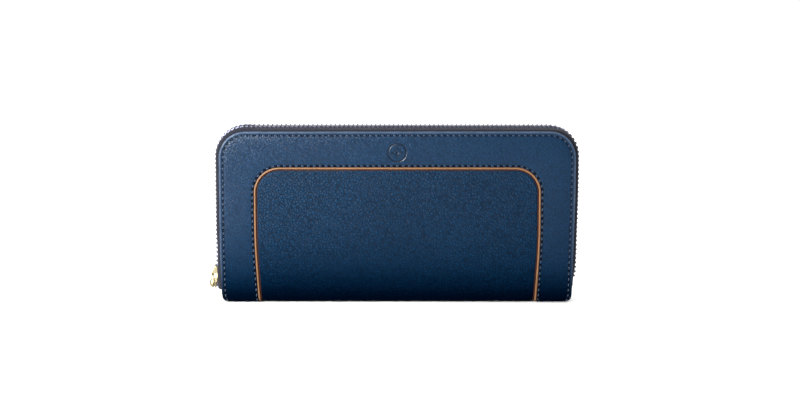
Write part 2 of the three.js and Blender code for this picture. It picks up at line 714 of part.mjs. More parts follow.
// small slider on the pocket zip, running along X, with a short flat pull lying along the chain
const K = 0.62;
const CS = { len: 12.3, nose: 4.7, tail: 3.9, in: 1.35, out: 2.0, pinU: 8.2, pinW: 3.3, ear: [[-2.0, 0], [-1.15, 1.5], [-0.5, 2.2], [0.5, 2.2], [1.15, 1.5], [2.0, 0]] };
const COIN_X = 70;
// nose towards +X, outer face up
const toCoin = new THREE.Matrix4().makeBasis(new THREE.Vector3(-1, 0, 0), new THREE.Vector3(0, -1, 0), new THREE.Vector3(0, 0, 1));
toCoin.setPosition(COIN_X + 6, 0, COIN_Z);
add("coin_slider", "coin_slider_body", geometry(sliderParts(CS, K, 0.32, true)).applyMatrix4(toCoin), M.gold);
{
  const place = new THREE.Matrix4().multiplyMatrices(toCoin, new THREE.Matrix4().makeTranslation(CS.pinU * K, 0, CS.pinW * K));
  // the leaf points back along the chain
  const g = geometry(pull(K, 11, 1.9, 0.9)).applyMatrix4(new THREE.Matrix4().makeRotationZ(Math.PI));
  add("coin_pull", "coin_pull_tab", g.applyMatrix4(place), M.gold);
}

// ---------------------------------------------------------------- gussets
// A strip of constant thickness along a bent line, as one closed ring of points.
function ribbon(mid, t) {
  const unit = ([ax, ay], [bx, by]) => {
    const l = Math.hypot(bx - ax, by - ay);
    return [-(by - ay) / l, (bx - ax) / l];
  };
  const up = [];
  const down = [];
  mid.forEach((p, i) => {
    const n1 = unit(mid[Math.max(0, i - 1)], mid[Math.max(1, i)]);
    const n2 = unit(mid[Math.min(mid.length - 2, i)], mid[Math.min(mid.length - 1, i + 1)]);
    let m = [n1[0] + n2[0], n1[1] + n2[1]];
    const l = Math.hypot(...m);
    m = [m[0] / l, m[1] / l];
    const reach = Math.min(1.6, 1 / (m[0] * n1[0] + m[1] * n1[1])) * (t / 2);
    up.push([p[0] + m[0] * reach, p[1] + m[1] * reach]);
    down.push([p[0] - m[0] * reach, p[1] - m[1] * reach]);
  });
  return [...up, ...down.reverse()];
}
// Each end has two pleats: front cover to pocket, and pocket to back cover. Closed, the pleats point inwards.
for (const [endName, ex] of [
  ["left", -1],
  ["right", 1],
])
  for (const [name, side] of [
    ["front", -1],
    ["back", 1],
  ]) {
    const rings = [62, 50, 34, 25, 18, 12.5].map((z) => {
      const s = z > ARC_H ? TOP - z : sOfZ(z);
      const yCover = at(0, s, 2.6, -1)[1];
      const yStack = at(0, s, 5.65, -1)[1];
      const zz = at(0, s, 4, -1)[2];
      const yPocket = -2.7;
      const tipX = 92 - (8 + 15 * smooth((z - 10) / 60));
      const mid = [
        [93.0, yCover],
        [93.0, yCover + 0.5],
        [91.3, yStack],
        [tipX, Math.min(yStack + 0.2, (yStack + yPocket) / 2 - 0.45)],
        [tipX, Math.max(yPocket - 0.2, (yStack + yPocket) / 2 + 0.45)],
        [91.0, yPocket],
        [89.9, -0.35],
      ];
      return ribbon(mid, 0.4).map(([x, y]) => [ex * x, side < 0 ? y : -y, zz]);
    });
    add("spine", `gusset_${endName}_${name}`, loft(rings), M.inner);
  }

export default root;
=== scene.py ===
import math

import bpy
import numpy as np
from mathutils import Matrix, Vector


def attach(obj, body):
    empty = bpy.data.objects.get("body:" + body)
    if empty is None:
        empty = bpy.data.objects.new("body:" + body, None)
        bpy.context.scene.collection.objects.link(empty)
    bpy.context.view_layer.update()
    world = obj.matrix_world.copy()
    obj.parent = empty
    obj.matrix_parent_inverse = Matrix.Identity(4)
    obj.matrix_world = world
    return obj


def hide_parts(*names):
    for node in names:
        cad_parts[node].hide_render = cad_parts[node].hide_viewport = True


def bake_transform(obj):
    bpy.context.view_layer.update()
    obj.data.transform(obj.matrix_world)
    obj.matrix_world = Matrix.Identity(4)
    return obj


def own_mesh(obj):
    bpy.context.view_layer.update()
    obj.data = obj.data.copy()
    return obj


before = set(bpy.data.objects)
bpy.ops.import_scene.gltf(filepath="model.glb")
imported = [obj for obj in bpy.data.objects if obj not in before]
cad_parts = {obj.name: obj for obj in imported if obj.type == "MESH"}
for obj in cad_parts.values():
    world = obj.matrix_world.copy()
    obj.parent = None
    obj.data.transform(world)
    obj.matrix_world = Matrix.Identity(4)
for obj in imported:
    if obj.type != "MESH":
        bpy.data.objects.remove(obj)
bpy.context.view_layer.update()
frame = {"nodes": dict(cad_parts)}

MM = 0.001
PI = math.pi
rng = np.random.default_rng(7)

# ------------------------------------------------------------------ the wallet's own dimensions, in mm
HALF_LENGTH = 95.5
HALF_THICK = 12.0
TOP = 93.3
CORNER_R = 14.0
BASE_HALF = 3.49
PIPE_HALF_X, PIPE_BASE_X, PIPE_TOP, PIPE_R = 76.3, 74.4, 19.8, 13.0
TAPE_D = 1.6
PLANE_N = 1.2
LEG_X = 96.95
TAPE_EDGE = 3.15
TOOTH_PITCH, TOOTH_LEN = 2.42, 0.95
TEETH_Z0, TEETH_Z1, OPEN_Z0 = 14.2, 12.6, 6.6
LEG_TOP = TOP - CORNER_R
STITCH = 3.175
DEG = PI / 180
ARCS = [(200.0, 0.0, 5 * DEG), (60.0, 5 * DEG, 17 * DEG), (5.6, 17 * DEG, 90 * DEG)]
ARC_H = sum(r * (math.sin(b) - math.sin(a)) for r, a, b in ARCS)
S_FLAT = TOP - ARC_H
S_FOLD = S_FLAT + sum(r * (b - a) for r, a, b in ARCS[:2])
S_BASE = S_FOLD + ARCS[2][0] * (ARCS[2][2] - ARCS[2][1])
S_MID = S_BASE + BASE_HALF
HINGE = (-8.852, 3.96)


def smooth(t):
    t = np.clip(t, 0, 1)
    return t * t * (3 - 2 * t)


def profile(s):
    """The outer face seen from the end: y, z and how far it has turned inwards."""
    s = np.asarray(s, float)
    y = np.full(s.shape, -HALF_THICK)
    z = TOP - np.minimum(s, S_FLAT)
    a = np.zeros(s.shape)
    left = s - S_FLAT
    for r, a0, a1 in ARCS:
        length = r * (a1 - a0)
        part = np.clip(left, 0, length)
        an = a0 + part / r
        on = left > 0
        y = np.where(on, y + r * (math.cos(a0) - np.cos(an)), y)
        z = np.where(on, z - r * (np.sin(an) - math.sin(a0)), z)
        a = np.where(on, an, a)
        left = left - length
    y = np.where(left > 0, y + left, y)
    return y, z, a


def at(x, s, d, side=-1):
    """A point x along the wallet, s down the outer face and d into the wall, in metres."""
    y, z, a = profile(s)
    y = y + d * np.cos(a)
    z = z + d * np.sin(a)
    x = np.broadcast_to(np.asarray(x, float), y.shape)
    return np.stack([x, y if side < 0 else -y, z], -1) * MM


def s_of_z(z):
    lo, hi = 0.0, S_BASE
    for _ in range(50):
        m = (lo + hi) / 2
        if profile(m)[1] > z:
            lo = m
        else:
            hi = m
    return (lo + hi) / 2


def edge_x(s, sign=-1):
    s = np.asarray(s, float)
    taper = np.where(np.asarray(sign) < 0, 0.6 * smooth((s - 50) / (S_MID - 50)), 1.2 * smooth((s - 22) / 68))
    return HALF_LENGTH - taper - 1.8 * np.clip((s - 88) / (S_BASE - 88), 0, 1) ** 2


def pipe_x(s):
    return PIPE_HALF_X - (PIPE_HALF_X - PIPE_BASE_X) * smooth((np.asarray(s, float) - 48) / (S_MID - 48)) ** 1.2


def edge_dist(x, s):
    """Distance inside the leather's outer edge."""
    x, s = np.asarray(x, float), np.asarray(s, float)
    straight = np.minimum(edge_x(s, np.sign(x)) - np.abs(x), s)
    cx, cs = np.abs(x) - (HALF_LENGTH - CORNER_R), CORNER_R - s
    corner = CORNER_R - np.hypot(np.maximum(cx, 0), np.maximum(cs, 0))
    return np.where((cx > 0) & (cs > 0), corner, straight)


def pipe_dist(x, s):
    """Distance outside the piping's centreline (negative inside it)."""
    x, s = np.asarray(x, float), np.asarray(s, float)
    straight = np.maximum(np.abs(x) - pipe_x(s), PIPE_TOP - s)
    cx, cs = np.abs(x) - (PIPE_HALF_X - PIPE_R), PIPE_TOP + PIPE_R - s
    corner = np.hypot(np.maximum(cx, 0), np.maximum(cs, 0)) - PIPE_R
    return np.where((cx > 0) & (cs > 0), corner, straight)


def crown(s):
    """The face leans back a little towards its top edge."""
    return 0.42 * np.clip(1 - np.asarray(s, float) / 18, 0, 1) ** 2


# ------------------------------------------------------------------ small tools
scene = bpy.context.scene


def make(name, verts, faces, material, shade=True, attrs=None, uv=None):
    me = bpy.data.meshes.new(name)
    me.from_pydata([tuple(map(float, v)) for v in verts], [], [tuple(int(i) for i in f) for f in faces])
    me.update()
    if attrs:
        for key, values in attrs.items():
            at_ = me.attributes.new(key, "FLOAT", "POINT")
            at_.data.foreach_set("value", np.asarray(values, np.float32))
    if uv is not None:
        layer = me.uv_layers.new(name="UVMap")
        loops = np.empty(len(me.loops), np.int32)
        me.loops.foreach_get("vertex_index", loops)
        layer.data.foreach_set("uv", np.asarray(uv, np.float32)[loops].ravel())
    ob = bpy.data.objects.new(name, me)
    scene.collection.objects.link(ob)
    if shade:
        me.polygons.foreach_set("use_smooth", [True] * len(me.polygons))
    me.materials.append(material)
    return ob


def fix_normals(ob):
    import bmesh

    bm = bmesh.new()
    bm.from_mesh(ob.data)
    bmesh.ops.recalc_face_normals(bm, faces=bm.faces)
    for e in bm.edges:
        if len(e.link_faces) == 2 and e.calc_face_angle(0) > 50 * DEG:
            e.smooth = False
    bm.to_mesh(ob.data)
    bm.free()
    return ob


def tube_faces(n, m, closed=False, caps=True):
    """Faces of n rings of m points."""
    faces = []
    for i in range(n - 1 + (1 if closed else 0)):
        a0, b0 = i * m, ((i + 1) % n) * m
        for k in range(m):
            k2 = (k + 1) % m
            faces.append((a0 + k, a0 + k2, b0 + k2, b0 + k))
    if caps and not closed:
        faces.append(tuple(range(m - 1, -1, -1)))
        faces.append(tuple(range((n - 1) * m, n * m)))
    return faces


def bevel(ob, width, segments=2, angle=35):
    mod = ob.modifiers.new("soft_edge", "BEVEL")
    mod.width = width * MM
    mod.segments = segments
    mod.limit_method = "ANGLE"
    mod.angle_limit = angle * DEG
    mod.harden_normals = True
    return ob


# ------------------------------------------------------------------ materials
def new_material(name):
    m = bpy.data.materials.new(name)
    m.use_nodes = True
    nt = m.node_tree
    nt.nodes.clear()
    out = nt.nodes.new("ShaderNodeOutputMaterial")
    sh = nt.nodes.new("ShaderNodeBsdfPrincipled")
    nt.links.new(sh.outputs[0], out.inputs[0])
    return m, nt, sh


def node(nt, kind, **kw):
    n = nt.nodes.new(kind)
    for k, v in kw.items():
        if k in n.inputs:
            n.inputs[k].default_value = v
        else:
            setattr(n, k, v)
    return n


def math_node(nt, op, a, b=None, c=None, clamp=False):
    n = nt.nodes.new("ShaderNodeMath")
    n.operation = op
    n.use_clamp = clamp
    for i, v in enumerate((a, b, c)):
        if v is None:
            continue
        if isinstance(v, (int, float)):
            n.inputs[i].default_value = v
        else:
            nt.links.new(v, n.inputs[i])
    return n.outputs[0]


def ramp(nt, fac, stops):
    n = nt.nodes.new("ShaderNodeValToRGB")
    el = n.color_ramp.elements
    while len(el) > 1:
        el.remove(el[-1])
    el[0].position, el[0].color = stops[0][0], stops[0][1]
    for p, c in stops[1:]:
        e = el.new(p)
        e.color = c
    nt.links.new(fac, n.inputs[0])
    return n.outputs[0]


def rgb(*c, k=1.0):
    """sRGB 0-255 to a linear colour."""
    out = []
    for v in c:
        v = v / 255
        out.append((v / 12.92 if v <= 0.04045 else ((v + 0.055) / 1.055) ** 2.4) * k)
    return (*out, 1.0)


def mix(nt, fac, a, b):
    n = nt.nodes.new("ShaderNodeMix")
    n.data_type = "RGBA"
    for sock, v in ((n.inputs[0], fac), (n.inputs[6], a), (n.inputs[7], b)):
        if isinstance(v, (int, float)):
            sock.default_value = v
        elif isinstance(v, tuple):
            sock.default_value = v
        else:
            nt.links.new(v, sock)
    return n.outputs[2]


def attribute(nt, name):
    n = nt.nodes.new("ShaderNodeAttribute")
    n.attribute_name = name
    return n.outputs["Fac"]


def leather(name, base, light, grain=1.1, depth=0.12, crease=0.35, pore=0.0, rough=(0.4, 0.55), spec=0.2, rim_tone_and_highlight=None, mark=False, shade=True, groove_shade=False):
    """Leather: pebble grain with soft creases, fine pores, uneven dye, a lighter rim that is partly edge paint and
    partly a painted highlight, painted shade in the grain creases and the stitch grooves, and painted shade that
    darkens it towards the base.
    """
    m, nt, sh = new_material(name)
    co = node(nt, "ShaderNodeTexCoord").outputs["Object"]
    warp = node(nt, "ShaderNodeTexNoise", Scale=420.0, Detail=3.0)
    nt.links.new(co, warp.inputs["Vector"])
    shift = node(nt, "ShaderNodeVectorMath", operation="SCALE", Scale=0.0011)
    nt.links.new(warp.outputs["Color"], shift.inputs[0])
    moved = node(nt, "ShaderNodeVectorMath", operation="ADD")
    nt.links.new(co, moved.inputs[0])
    nt.links.new(shift.outputs[0], moved.inputs[1])
    cells = node(nt, "ShaderNodeTexVoronoi", feature="SMOOTH_F1", Scale=1000 / grain, Smoothness=0.55, Randomness=0.95)
    edges = node(nt, "ShaderNodeTexVoronoi", feature="DISTANCE_TO_EDGE", Scale=1000 / grain, Randomness=0.95)
    for v in (cells, edges):
        nt.links.new(moved.outputs[0], v.inputs["Vector"])
    fine = node(nt, "ShaderNodeTexNoise", Scale=1500.0, Detail=4.0, Roughness=0.6)
    broad = node(nt, "ShaderNodeTexNoise", Scale=26.0, Detail=4.0, Roughness=0.55)
    mid = node(nt, "ShaderNodeTexNoise", Scale=160.0, Detail=3.0)
    for v in (fine, broad, mid):
        nt.links.new(co, v.inputs["Vector"])
    ridge = math_node(nt, "MULTIPLY", edges.outputs["Distance"], 3.6, clamp=True)
    height = math_node(nt, "MULTIPLY_ADD", ridge, 0.6, math_node(nt, "MULTIPLY", cells.outputs["Distance"], -0.45))
    height = math_node(nt, "MULTIPLY_ADD", fine.outputs["Fac"], 0.4, height)
    if pore:
        dots = node(nt, "ShaderNodeTexVoronoi", feature="F1", Scale=1000 / 1.3, Randomness=1.0)
        nt.links.new(co, dots.inputs["Vector"])
        pit = math_node(nt, "MULTIPLY", dots.outputs["Distance"], 5.0, clamp=True)
        height = math_node(nt, "MULTIPLY_ADD", pit, pore, height)
    tone = math_node(nt, "MULTIPLY_ADD", broad.outputs["Fac"], 0.7, math_node(nt, "MULTIPLY", mid.outputs["Fac"], 0.25))
    tone = math_node(nt, "MULTIPLY_ADD", fine.outputs["Fac"], 0.5, math_node(nt, "SUBTRACT", tone, 0.25), clamp=True)
    colour = mix(nt, tone, base, light)
    # painted shade: the colour is darkened in the creases between the pebbles
    crease_shade = math_node(nt, "MULTIPLY", math_node(nt, "SUBTRACT", 1.0, ridge), crease)
    colour = mix(nt, crease_shade, colour, tuple(v * 0.35 if i < 3 else 1.0 for i, v in enumerate(base)))
    if rim_tone_and_highlight is not None:
        # the lighter rim along the cut edge is partly the edge's own paint and partly a painted highlight where the
        # rounded edge catches the light
        e = attribute(nt, "edge")
        f = math_node(nt, "SUBTRACT", 1.0, math_node(nt, "MULTIPLY", e, 1 / 1.3), clamp=True)
        f = math_node(nt, "MULTIPLY", f, math_node(nt, "MULTIPLY_ADD", mid.outputs["Fac"], 0.8, 0.2), clamp=True)
        colour = mix(nt, f, colour, rim_tone_and_highlight)
    if groove_shade:
        # painted shade: the colour is darkened along the stitch grooves beside the edge and the piping
        g = math_node(nt, "SUBTRACT", 1.0, math_node(nt, "MULTIPLY", math_node(nt, "ABSOLUTE", math_node(nt, "SUBTRACT", attribute(nt, "edge"), 2.0)), 1 / 0.8), clamp=True)
        g2 = math_node(nt, "SUBTRACT", 1.0, math_node(nt, "MULTIPLY", math_node(nt, "ABSOLUTE", math_node(nt, "SUBTRACT", attribute(nt, "pipe"), 0.85)), 1 / 0.8), clamp=True)
        g = math_node(nt, "MULTIPLY", math_node(nt, "MAXIMUM", g, g2), 0.45)
        colour = mix(nt, g, colour, tuple(v * 0.3 if i < 3 else 1.0 for i, v in enumerate(base)))
    rough_v = math_node(nt, "MULTIPLY_ADD", mid.outputs["Fac"], rough[1] - rough[0], rough[0])
    if shade:
        # painted shade: the 'low' attribute darkens the colour to near black towards the base
        low = attribute(nt, "low")
        colour = mix(nt, low, colour, (base[0] * 0.05, base[1] * 0.03, base[2] * 0.09, 1.0))
    if mark:
        # a pressed mark that stands for no maker: a ring round a small four-sided leaf
        sep = node(nt, "ShaderNodeSeparateXYZ")
        nt.links.new(co, sep.inputs[0])
        dx = math_node(nt, "ABSOLUTE", sep.outputs[0])
        dz = math_node(nt, "ABSOLUTE", math_node(nt, "SUBTRACT", sep.outputs[2], 0.0821))
        r = math_node(nt, "SQRT", math_node(nt, "ADD", math_node(nt, "MULTIPLY", dx, dx), math_node(nt, "MULTIPLY", dz, dz)))
        ring = math_node(nt, "SUBTRACT", 1.25, math_node(nt, "MULTIPLY", math_node(nt, "ABSOLUTE", math_node(nt, "SUBTRACT", r, 0.0048)), 2300.0), clamp=True)
        px, pz = math_node(nt, "POWER", dx, 0.62), math_node(nt, "POWER", dz, 0.62)
        star = math_node(nt, "ADD", px, pz)
        leaf = math_node(nt, "SUBTRACT", 1.25, math_node(nt, "MULTIPLY", math_node(nt, "ABSOLUTE", math_node(nt, "SUBTRACT", star, 0.0296)), 380.0), clamp=True)
        dot = math_node(nt, "SUBTRACT", 1.6, math_node(nt, "MULTIPLY", r, 1600.0), clamp=True)
        press = math_node(nt, "MAXIMUM", math_node(nt, "MAXIMUM", ring, leaf), dot)
        press = math_node(nt, "MULTIPLY", press, math_node(nt, "LESS_THAN", sep.outputs[1], 0.0))
        height = math_node(nt, "MULTIPLY_ADD", press, -2.5, height)
        colour = mix(nt, math_node(nt, "MULTIPLY", press, 0.85), colour, tuple(v * 0.2 if i < 3 else 1.0 for i, v in enumerate(base)))
    nt.links.new(colour, sh.inputs["Base Color"])
    nt.links.new(rough_v, sh.inputs["Roughness"])
    sh.inputs["Specular IOR Level"].default_value = spec
    if shade:
        # painted shade: the specular level also fades out towards the base
        spec_in_base_shade = math_node(nt, "POWER", math_node(nt, "SUBTRACT", 1.0, low, clamp=True), 3.0)
        nt.links.new(math_node(nt, "MULTIPLY", spec_in_base_shade, spec), sh.inputs["Specular IOR Level"])
    b = node(nt, "ShaderNodeBump", Strength=1.0, Distance=depth * MM)
    nt.links.new(height, b.inputs["Height"])
    nt.links.new(b.outputs[0], sh.inputs["Normal"])
    return m


def metal(name, a, b, rough=(0.16, 0.3), scratch=0.02, scale=900.0):
    m, nt, sh = new_material(name)
    co = node(nt, "ShaderNodeTexCoord").outputs["Object"]
    n1 = node(nt, "ShaderNodeTexNoise", Scale=scale, Detail=4.0)
    n2 = node(nt, "ShaderNodeTexNoise", Scale=150.0, Detail=3.0)
    for v in (n1, n2):
        nt.links.new(co, v.inputs["Vector"])
    nt.links.new(mix(nt, n2.outputs["Fac"], a, b), sh.inputs["Base Color"])
    nt.links.new(math_node(nt, "MULTIPLY_ADD", n1.outputs["Fac"], rough[1] - rough[0], rough[0]), sh.inputs["Roughness"])
    sh.inputs["Metallic"].default_value = 1.0
    bm = node(nt, "ShaderNodeBump", Strength=1.0, Distance=scratch * MM)
    nt.links.new(n1.outputs["Fac"], bm.inputs["Height"])
    nt.links.new(bm.outputs[0], sh.inputs["Normal"])
    return m


def woven(name, a, b, pitch=0.35, depth=0.08, uv=True, rough=0.85, vec=None):
    """Plain weave from two crossed sine waves."""
    m, nt, sh = new_material(name)
    tc = node(nt, "ShaderNodeTexCoord")
    co = tc.outputs["UV"] if uv else tc.outputs["Object"]
    sep = node(nt, "ShaderNodeSeparateXYZ")
    nt.links.new(co, sep.inputs[0])
    k = 2 * PI / pitch * (1.0 if uv else 1000.0)
    u, v = sep.outputs[0], sep.outputs[1 if uv else 2]
    su = math_node(nt, "SINE", math_node(nt, "MULTIPLY", u, k))
    sv = math_node(nt, "SINE", math_node(nt, "MULTIPLY", v, k))
    w = math_node(nt, "MULTIPLY", su, sv)
    h = math_node(nt, "MULTIPLY_ADD", w, 0.5, 0.5)
    fuzz = node(nt, "ShaderNodeTexNoise", Scale=2500.0, Detail=3.0)
    nt.links.new(tc.outputs["Object"], fuzz.inputs["Vector"])
    f = math_node(nt, "MULTIPLY_ADD", fuzz.outputs["Fac"], 0.5, math_node(nt, "MULTIPLY", h, 0.5), clamp=True)
    nt.links.new(mix(nt, f, a, b), sh.inputs["Base Color"])
    sh.inputs["Roughness"].default_value = rough
    sh.inputs["Specular IOR Level"].default_value = 0.12
    sh.inputs["Sheen Weight"].default_value = 0.03
    bm = node(nt, "ShaderNodeBump", Strength=1.0, Distance=depth * MM)
    nt.links.new(h, bm.inputs["Height"])
    nt.links.new(bm.outputs[0], sh.inputs["Normal"])
    return m


def thread_material(name, a, b):
    m, nt, sh = new_material(name)
    tc = node(nt, "ShaderNodeTexCoord")
    sep = node(nt, "ShaderNodeSeparateXYZ")
    nt.links.new(tc.outputs["UV"], sep.inputs[0])
    ph = math_node(nt, "ADD", math_node(nt, "MULTIPLY", sep.outputs[0], 2 * PI / 0.42), math_node(nt, "MULTIPLY", sep.outputs[1], 2 * PI))
    h = math_node(nt, "MULTIPLY_ADD", math_node(nt, "SINE", ph), 0.5, 0.5)
    nt.links.new(mix(nt, h, a, b), sh.inputs["Base Color"])
    sh.inputs["Roughness"].default_value = 0.6
    sh.inputs["Specular IOR Level"].default_value = 0.35
    bm = node(nt, "ShaderNodeBump", Strength=1.0, Distance=0.06 * MM)
    nt.links.new(h, bm.inputs["Height"])
    nt.links.new(bm.outputs[0], sh.inputs["Normal"])
    return m


MAT = {
    # the rim colour is partly edge paint and partly painted highlight; the groove darkening is painted shade
    "frame": leather("leather_smooth_navy", rgb(3, 31, 55), rgb(9, 49, 80), grain=1.3, depth=0.10, crease=0.65, pore=0.15, rough=(0.29, 0.39), spec=0.125, rim_tone_and_highlight=rgb(76, 92, 114), mark=True, groove_shade=True),
    "grain": leather("leather_grained_navy", rgb(2, 30, 54), rgb(8, 49, 79), grain=1.45, depth=0.24, crease=0.85, rough=(0.42, 0.55), spec=0.052),
    "inner": leather("leather_inner_navy", rgb(10, 42, 72), rgb(20, 56, 88), grain=0.8, depth=0.05, rough=(0.5, 0.62), spec=0.25, rim_tone_and_highlight=rgb(60, 84, 112), shade=False),
    "piping": leather("leather_tan", rgb(108, 72, 42), rgb(148, 108, 72), grain=0.6, depth=0.05, rough=(0.42, 0.55), spec=0.22, shade=False),
    # the flange's near-black brown is partly its own colour and partly painted shade of the gap beside the piping
    "flange": leather("flange_brown_and_shade", rgb(44, 16, 4), rgb(60, 24, 8), grain=0.6, depth=0.03, rough=(0.6, 0.7), spec=0.1, shade=False),
    "gusset": leather("leather_gusset_navy", rgb(8, 40, 70), rgb(16, 52, 82), grain=0.6, depth=0.03, rough=(0.5, 0.6), spec=0.2, shade=False),
    # painted shade: the near-black colour of the stitch holes stands in for the shade inside them
    "hole": leather("stitch_hole_shade", rgb(0, 2, 10), rgb(1, 5, 16), grain=0.4, depth=0.02, rough=(0.8, 0.9), spec=0.02, shade=False),
    "thread": thread_material("thread_navy", rgb(4, 26, 50), rgb(24, 52, 80)),
    "tape": woven("zip_tape_weave", rgb(9, 11, 20), rgb(24, 27, 42), pitch=0.55, depth=0.10),
    "lining": woven("lining_weave", rgb(14, 24, 44), rgb(28, 40, 64), pitch=0.5, depth=0.06, uv=False),
    "board": leather("board_fibre", rgb(150, 136, 112), rgb(176, 164, 140), grain=0.5, depth=0.03, rough=(0.85, 0.95), spec=0.1, shade=False),
    "teeth": metal("teeth_dark_nickel", rgb(64, 65, 78), rgb(92, 93, 108), rough=(0.34, 0.48)),
    "gold": metal("gold_plate", rgb(124, 114, 88), rgb(154, 146, 118), rough=(0.34, 0.44)),
    "coil": woven("coil_nylon", rgb(22, 28, 44), rgb(40, 48, 66), pitch=0.9, depth=0.2, uv=False, rough=0.5),
}


# ------------------------------------------------------------------ paths on the face, as x and s
def u_path(offset, step=1.0):
    """A line round the inverted U, at a fixed distance outside the piping's centreline."""
    pts = []
    leg = np.arange(S_MID, PIPE_TOP + PIPE_R, -step)
    r = PIPE_R + offset
    arc = np.linspace(0, PI / 2, max(8, int(r * PI / 2 / step)))
    cx, cs = PIPE_HALF_X - PIPE_R, PIPE_TOP + PIPE_R
    pts += [(-(float(pipe_x(s)) + offset), s) for s in leg]
    pts += [(-(cx + r * math.cos(a)), cs - r * math.sin(a)) for a in arc]
    top = np.linspace(-cx, cx, int(2 * cx / step))[1:-1]
    pts += [(x, PIPE_TOP - offset) for x in top]
    pts += [(cx + r * math.sin(a), cs - r * math.cos(a)) for a in arc]
    pts += [(float(pipe_x(s)) + offset, s) for s in leg[::-1]]
    return np.array(pts)


def edge_path(inset, step=1.0):
    """A line a fixed distance inside the leather's outer edge."""
    pts = []
    leg = np.arange(S_MID, CORNER_R, -step)
    r = CORNER_R - inset
    arc = np.linspace(0, PI / 2, max(8, int(r * PI / 2 / step)))
    cx = HALF_LENGTH - CORNER_R
    pts += [(-(float(edge_x(s, -1)) - inset), s) for s in leg]
    pts += [(-(cx + r * math.cos(a)), CORNER_R - r * math.sin(a)) for a in arc]
    top = np.linspace(-cx, cx, int(2 * cx / step))[1:-1]
    pts += [(x, inset) for x in top]
    pts += [(cx + r * math.sin(a), CORNER_R - r * math.cos(a)) for a in arc]
    pts += [(float(edge_x(s, 1)) - inset, s) for s in leg[::-1]]
    return np.array(pts)


def along(path):
    cum = np.concatenate([[0], np.cumsum(np.hypot(*np.diff(path, axis=0).T))])

    def where(t):
        return np.stack([np.interp(t, cum, path[:, 0]), np.interp(t, cum, path[:, 1])], -1)

    return where, cum[-1]


def stitch_row(name, path, side, depth, length=1.7, radius=0.30, pitch=STITCH, place=None):
    """Thread stitches and the holes that they go into, as shallow near-black dishes: painted shade of the holes."""
    place = place or (lambda x, s, d: at(x, s, d, side))
    where, total = along(path)
    n = int((total - pitch) // pitch)
    start = (total - n * pitch) / 2
    sv, sf, suv, hv, hf = [], [], [], [], []
    us = np.array([0, 0.12, 0.35, 0.65, 0.88, 1.0])
    lift = np.array([-0.22, 0.05, 0.26, 0.26, 0.05, -0.22])
    rad = np.array([0.55, 0.95, 1.0, 1.0, 0.95, 0.55]) * radius
    ang = np.linspace(0, 2 * PI, 8, endpoint=False)
    hole_a = np.linspace(0, 2 * PI, 10, endpoint=False)
    for i in range(n):
        t0 = start + i * pitch + (pitch - length) / 2
        jit = rng.normal(0, 0.05, 2)
        q = where(t0 + us * length)
        tan = where(t0 + length) - where(t0)
        tan = tan / np.hypot(*tan)
        nor = np.array([-tan[1], tan[0]])
        tilt = 0.10 + jit[0] * 0.6
        base = len(sv)
        for k in range(6):
            off = (us[k] - 0.5) * tilt * 2
            for a in ang:
                w = off + rad[k] * math.cos(a)
                sv.append((q[k, 0] + nor[0] * w, q[k, 1] + nor[1] * w, depth - lift[k] - rad[k] * 0.8 * math.sin(a)))
                suv.append((us[k] * length, a / (2 * PI)))
        sf += [tuple(base + v for v in f) for f in tube_faces(6, 8)]
    # the holes: shallow dishes whose near-black colour is painted shade
    for i in range(n + 1):
        t = start + i * pitch
        c = where(t)
        tan = where(min(t + 0.5, total)) - where(max(t - 0.5, 0))
        tan = tan / np.hypot(*tan)
        nor = np.array([-tan[1], tan[0]])
        base = len(hv)
        hv.append((c[0], c[1], depth + 0.05))
        for ring, (ru, rw, dd) in enumerate(((0.48, 0.36, -0.04), (0.84, 0.62, -0.11), (1.02, 0.80, 0.06))):
            for a in hole_a:
                off = tan * ru * math.cos(a) + nor * rw * math.sin(a)
                hv.append((c[0] + off[0], c[1] + off[1], depth + dd))
        m = len(hole_a)
        for k in range(m):
            hf.append((base, base + 1 + k, base + 1 + (k + 1) % m))
            for r in range(2):
                o = base + 1 + r * m
                hf.append((o + k, o + m + k, o + m + (k + 1) % m, o + (k + 1) % m))
    sv, hv = np.array(sv), np.array(hv)
    thread = make(name, place(sv[:, 0], sv[:, 1], sv[:, 2]), sf, MAT["thread"], uv=suv)
    holes = make(name + "_holes", place(hv[:, 0], hv[:, 1], hv[:, 2]), hf, MAT["hole"])
    for o in (thread, holes):
        fix_normals(o)
    return thread, holes


# ------------------------------------------------------------------ covers
def painted_base_shade(s):
    """How strongly the leather is darkened towards the base, by height: painted shade, not the leather's own colour."""
    z = profile(s)[1]
    keep = np.interp(z, [0, 2, 4.3, 8.6, 13, 17, 21.5, 26, 34, 45, 58], [0.18, 0.17, 0.17, 0.34, 0.5, 0.62, 0.73, 0.81, 0.89, 0.96, 1.0])
    return (1 - keep) / 0.94


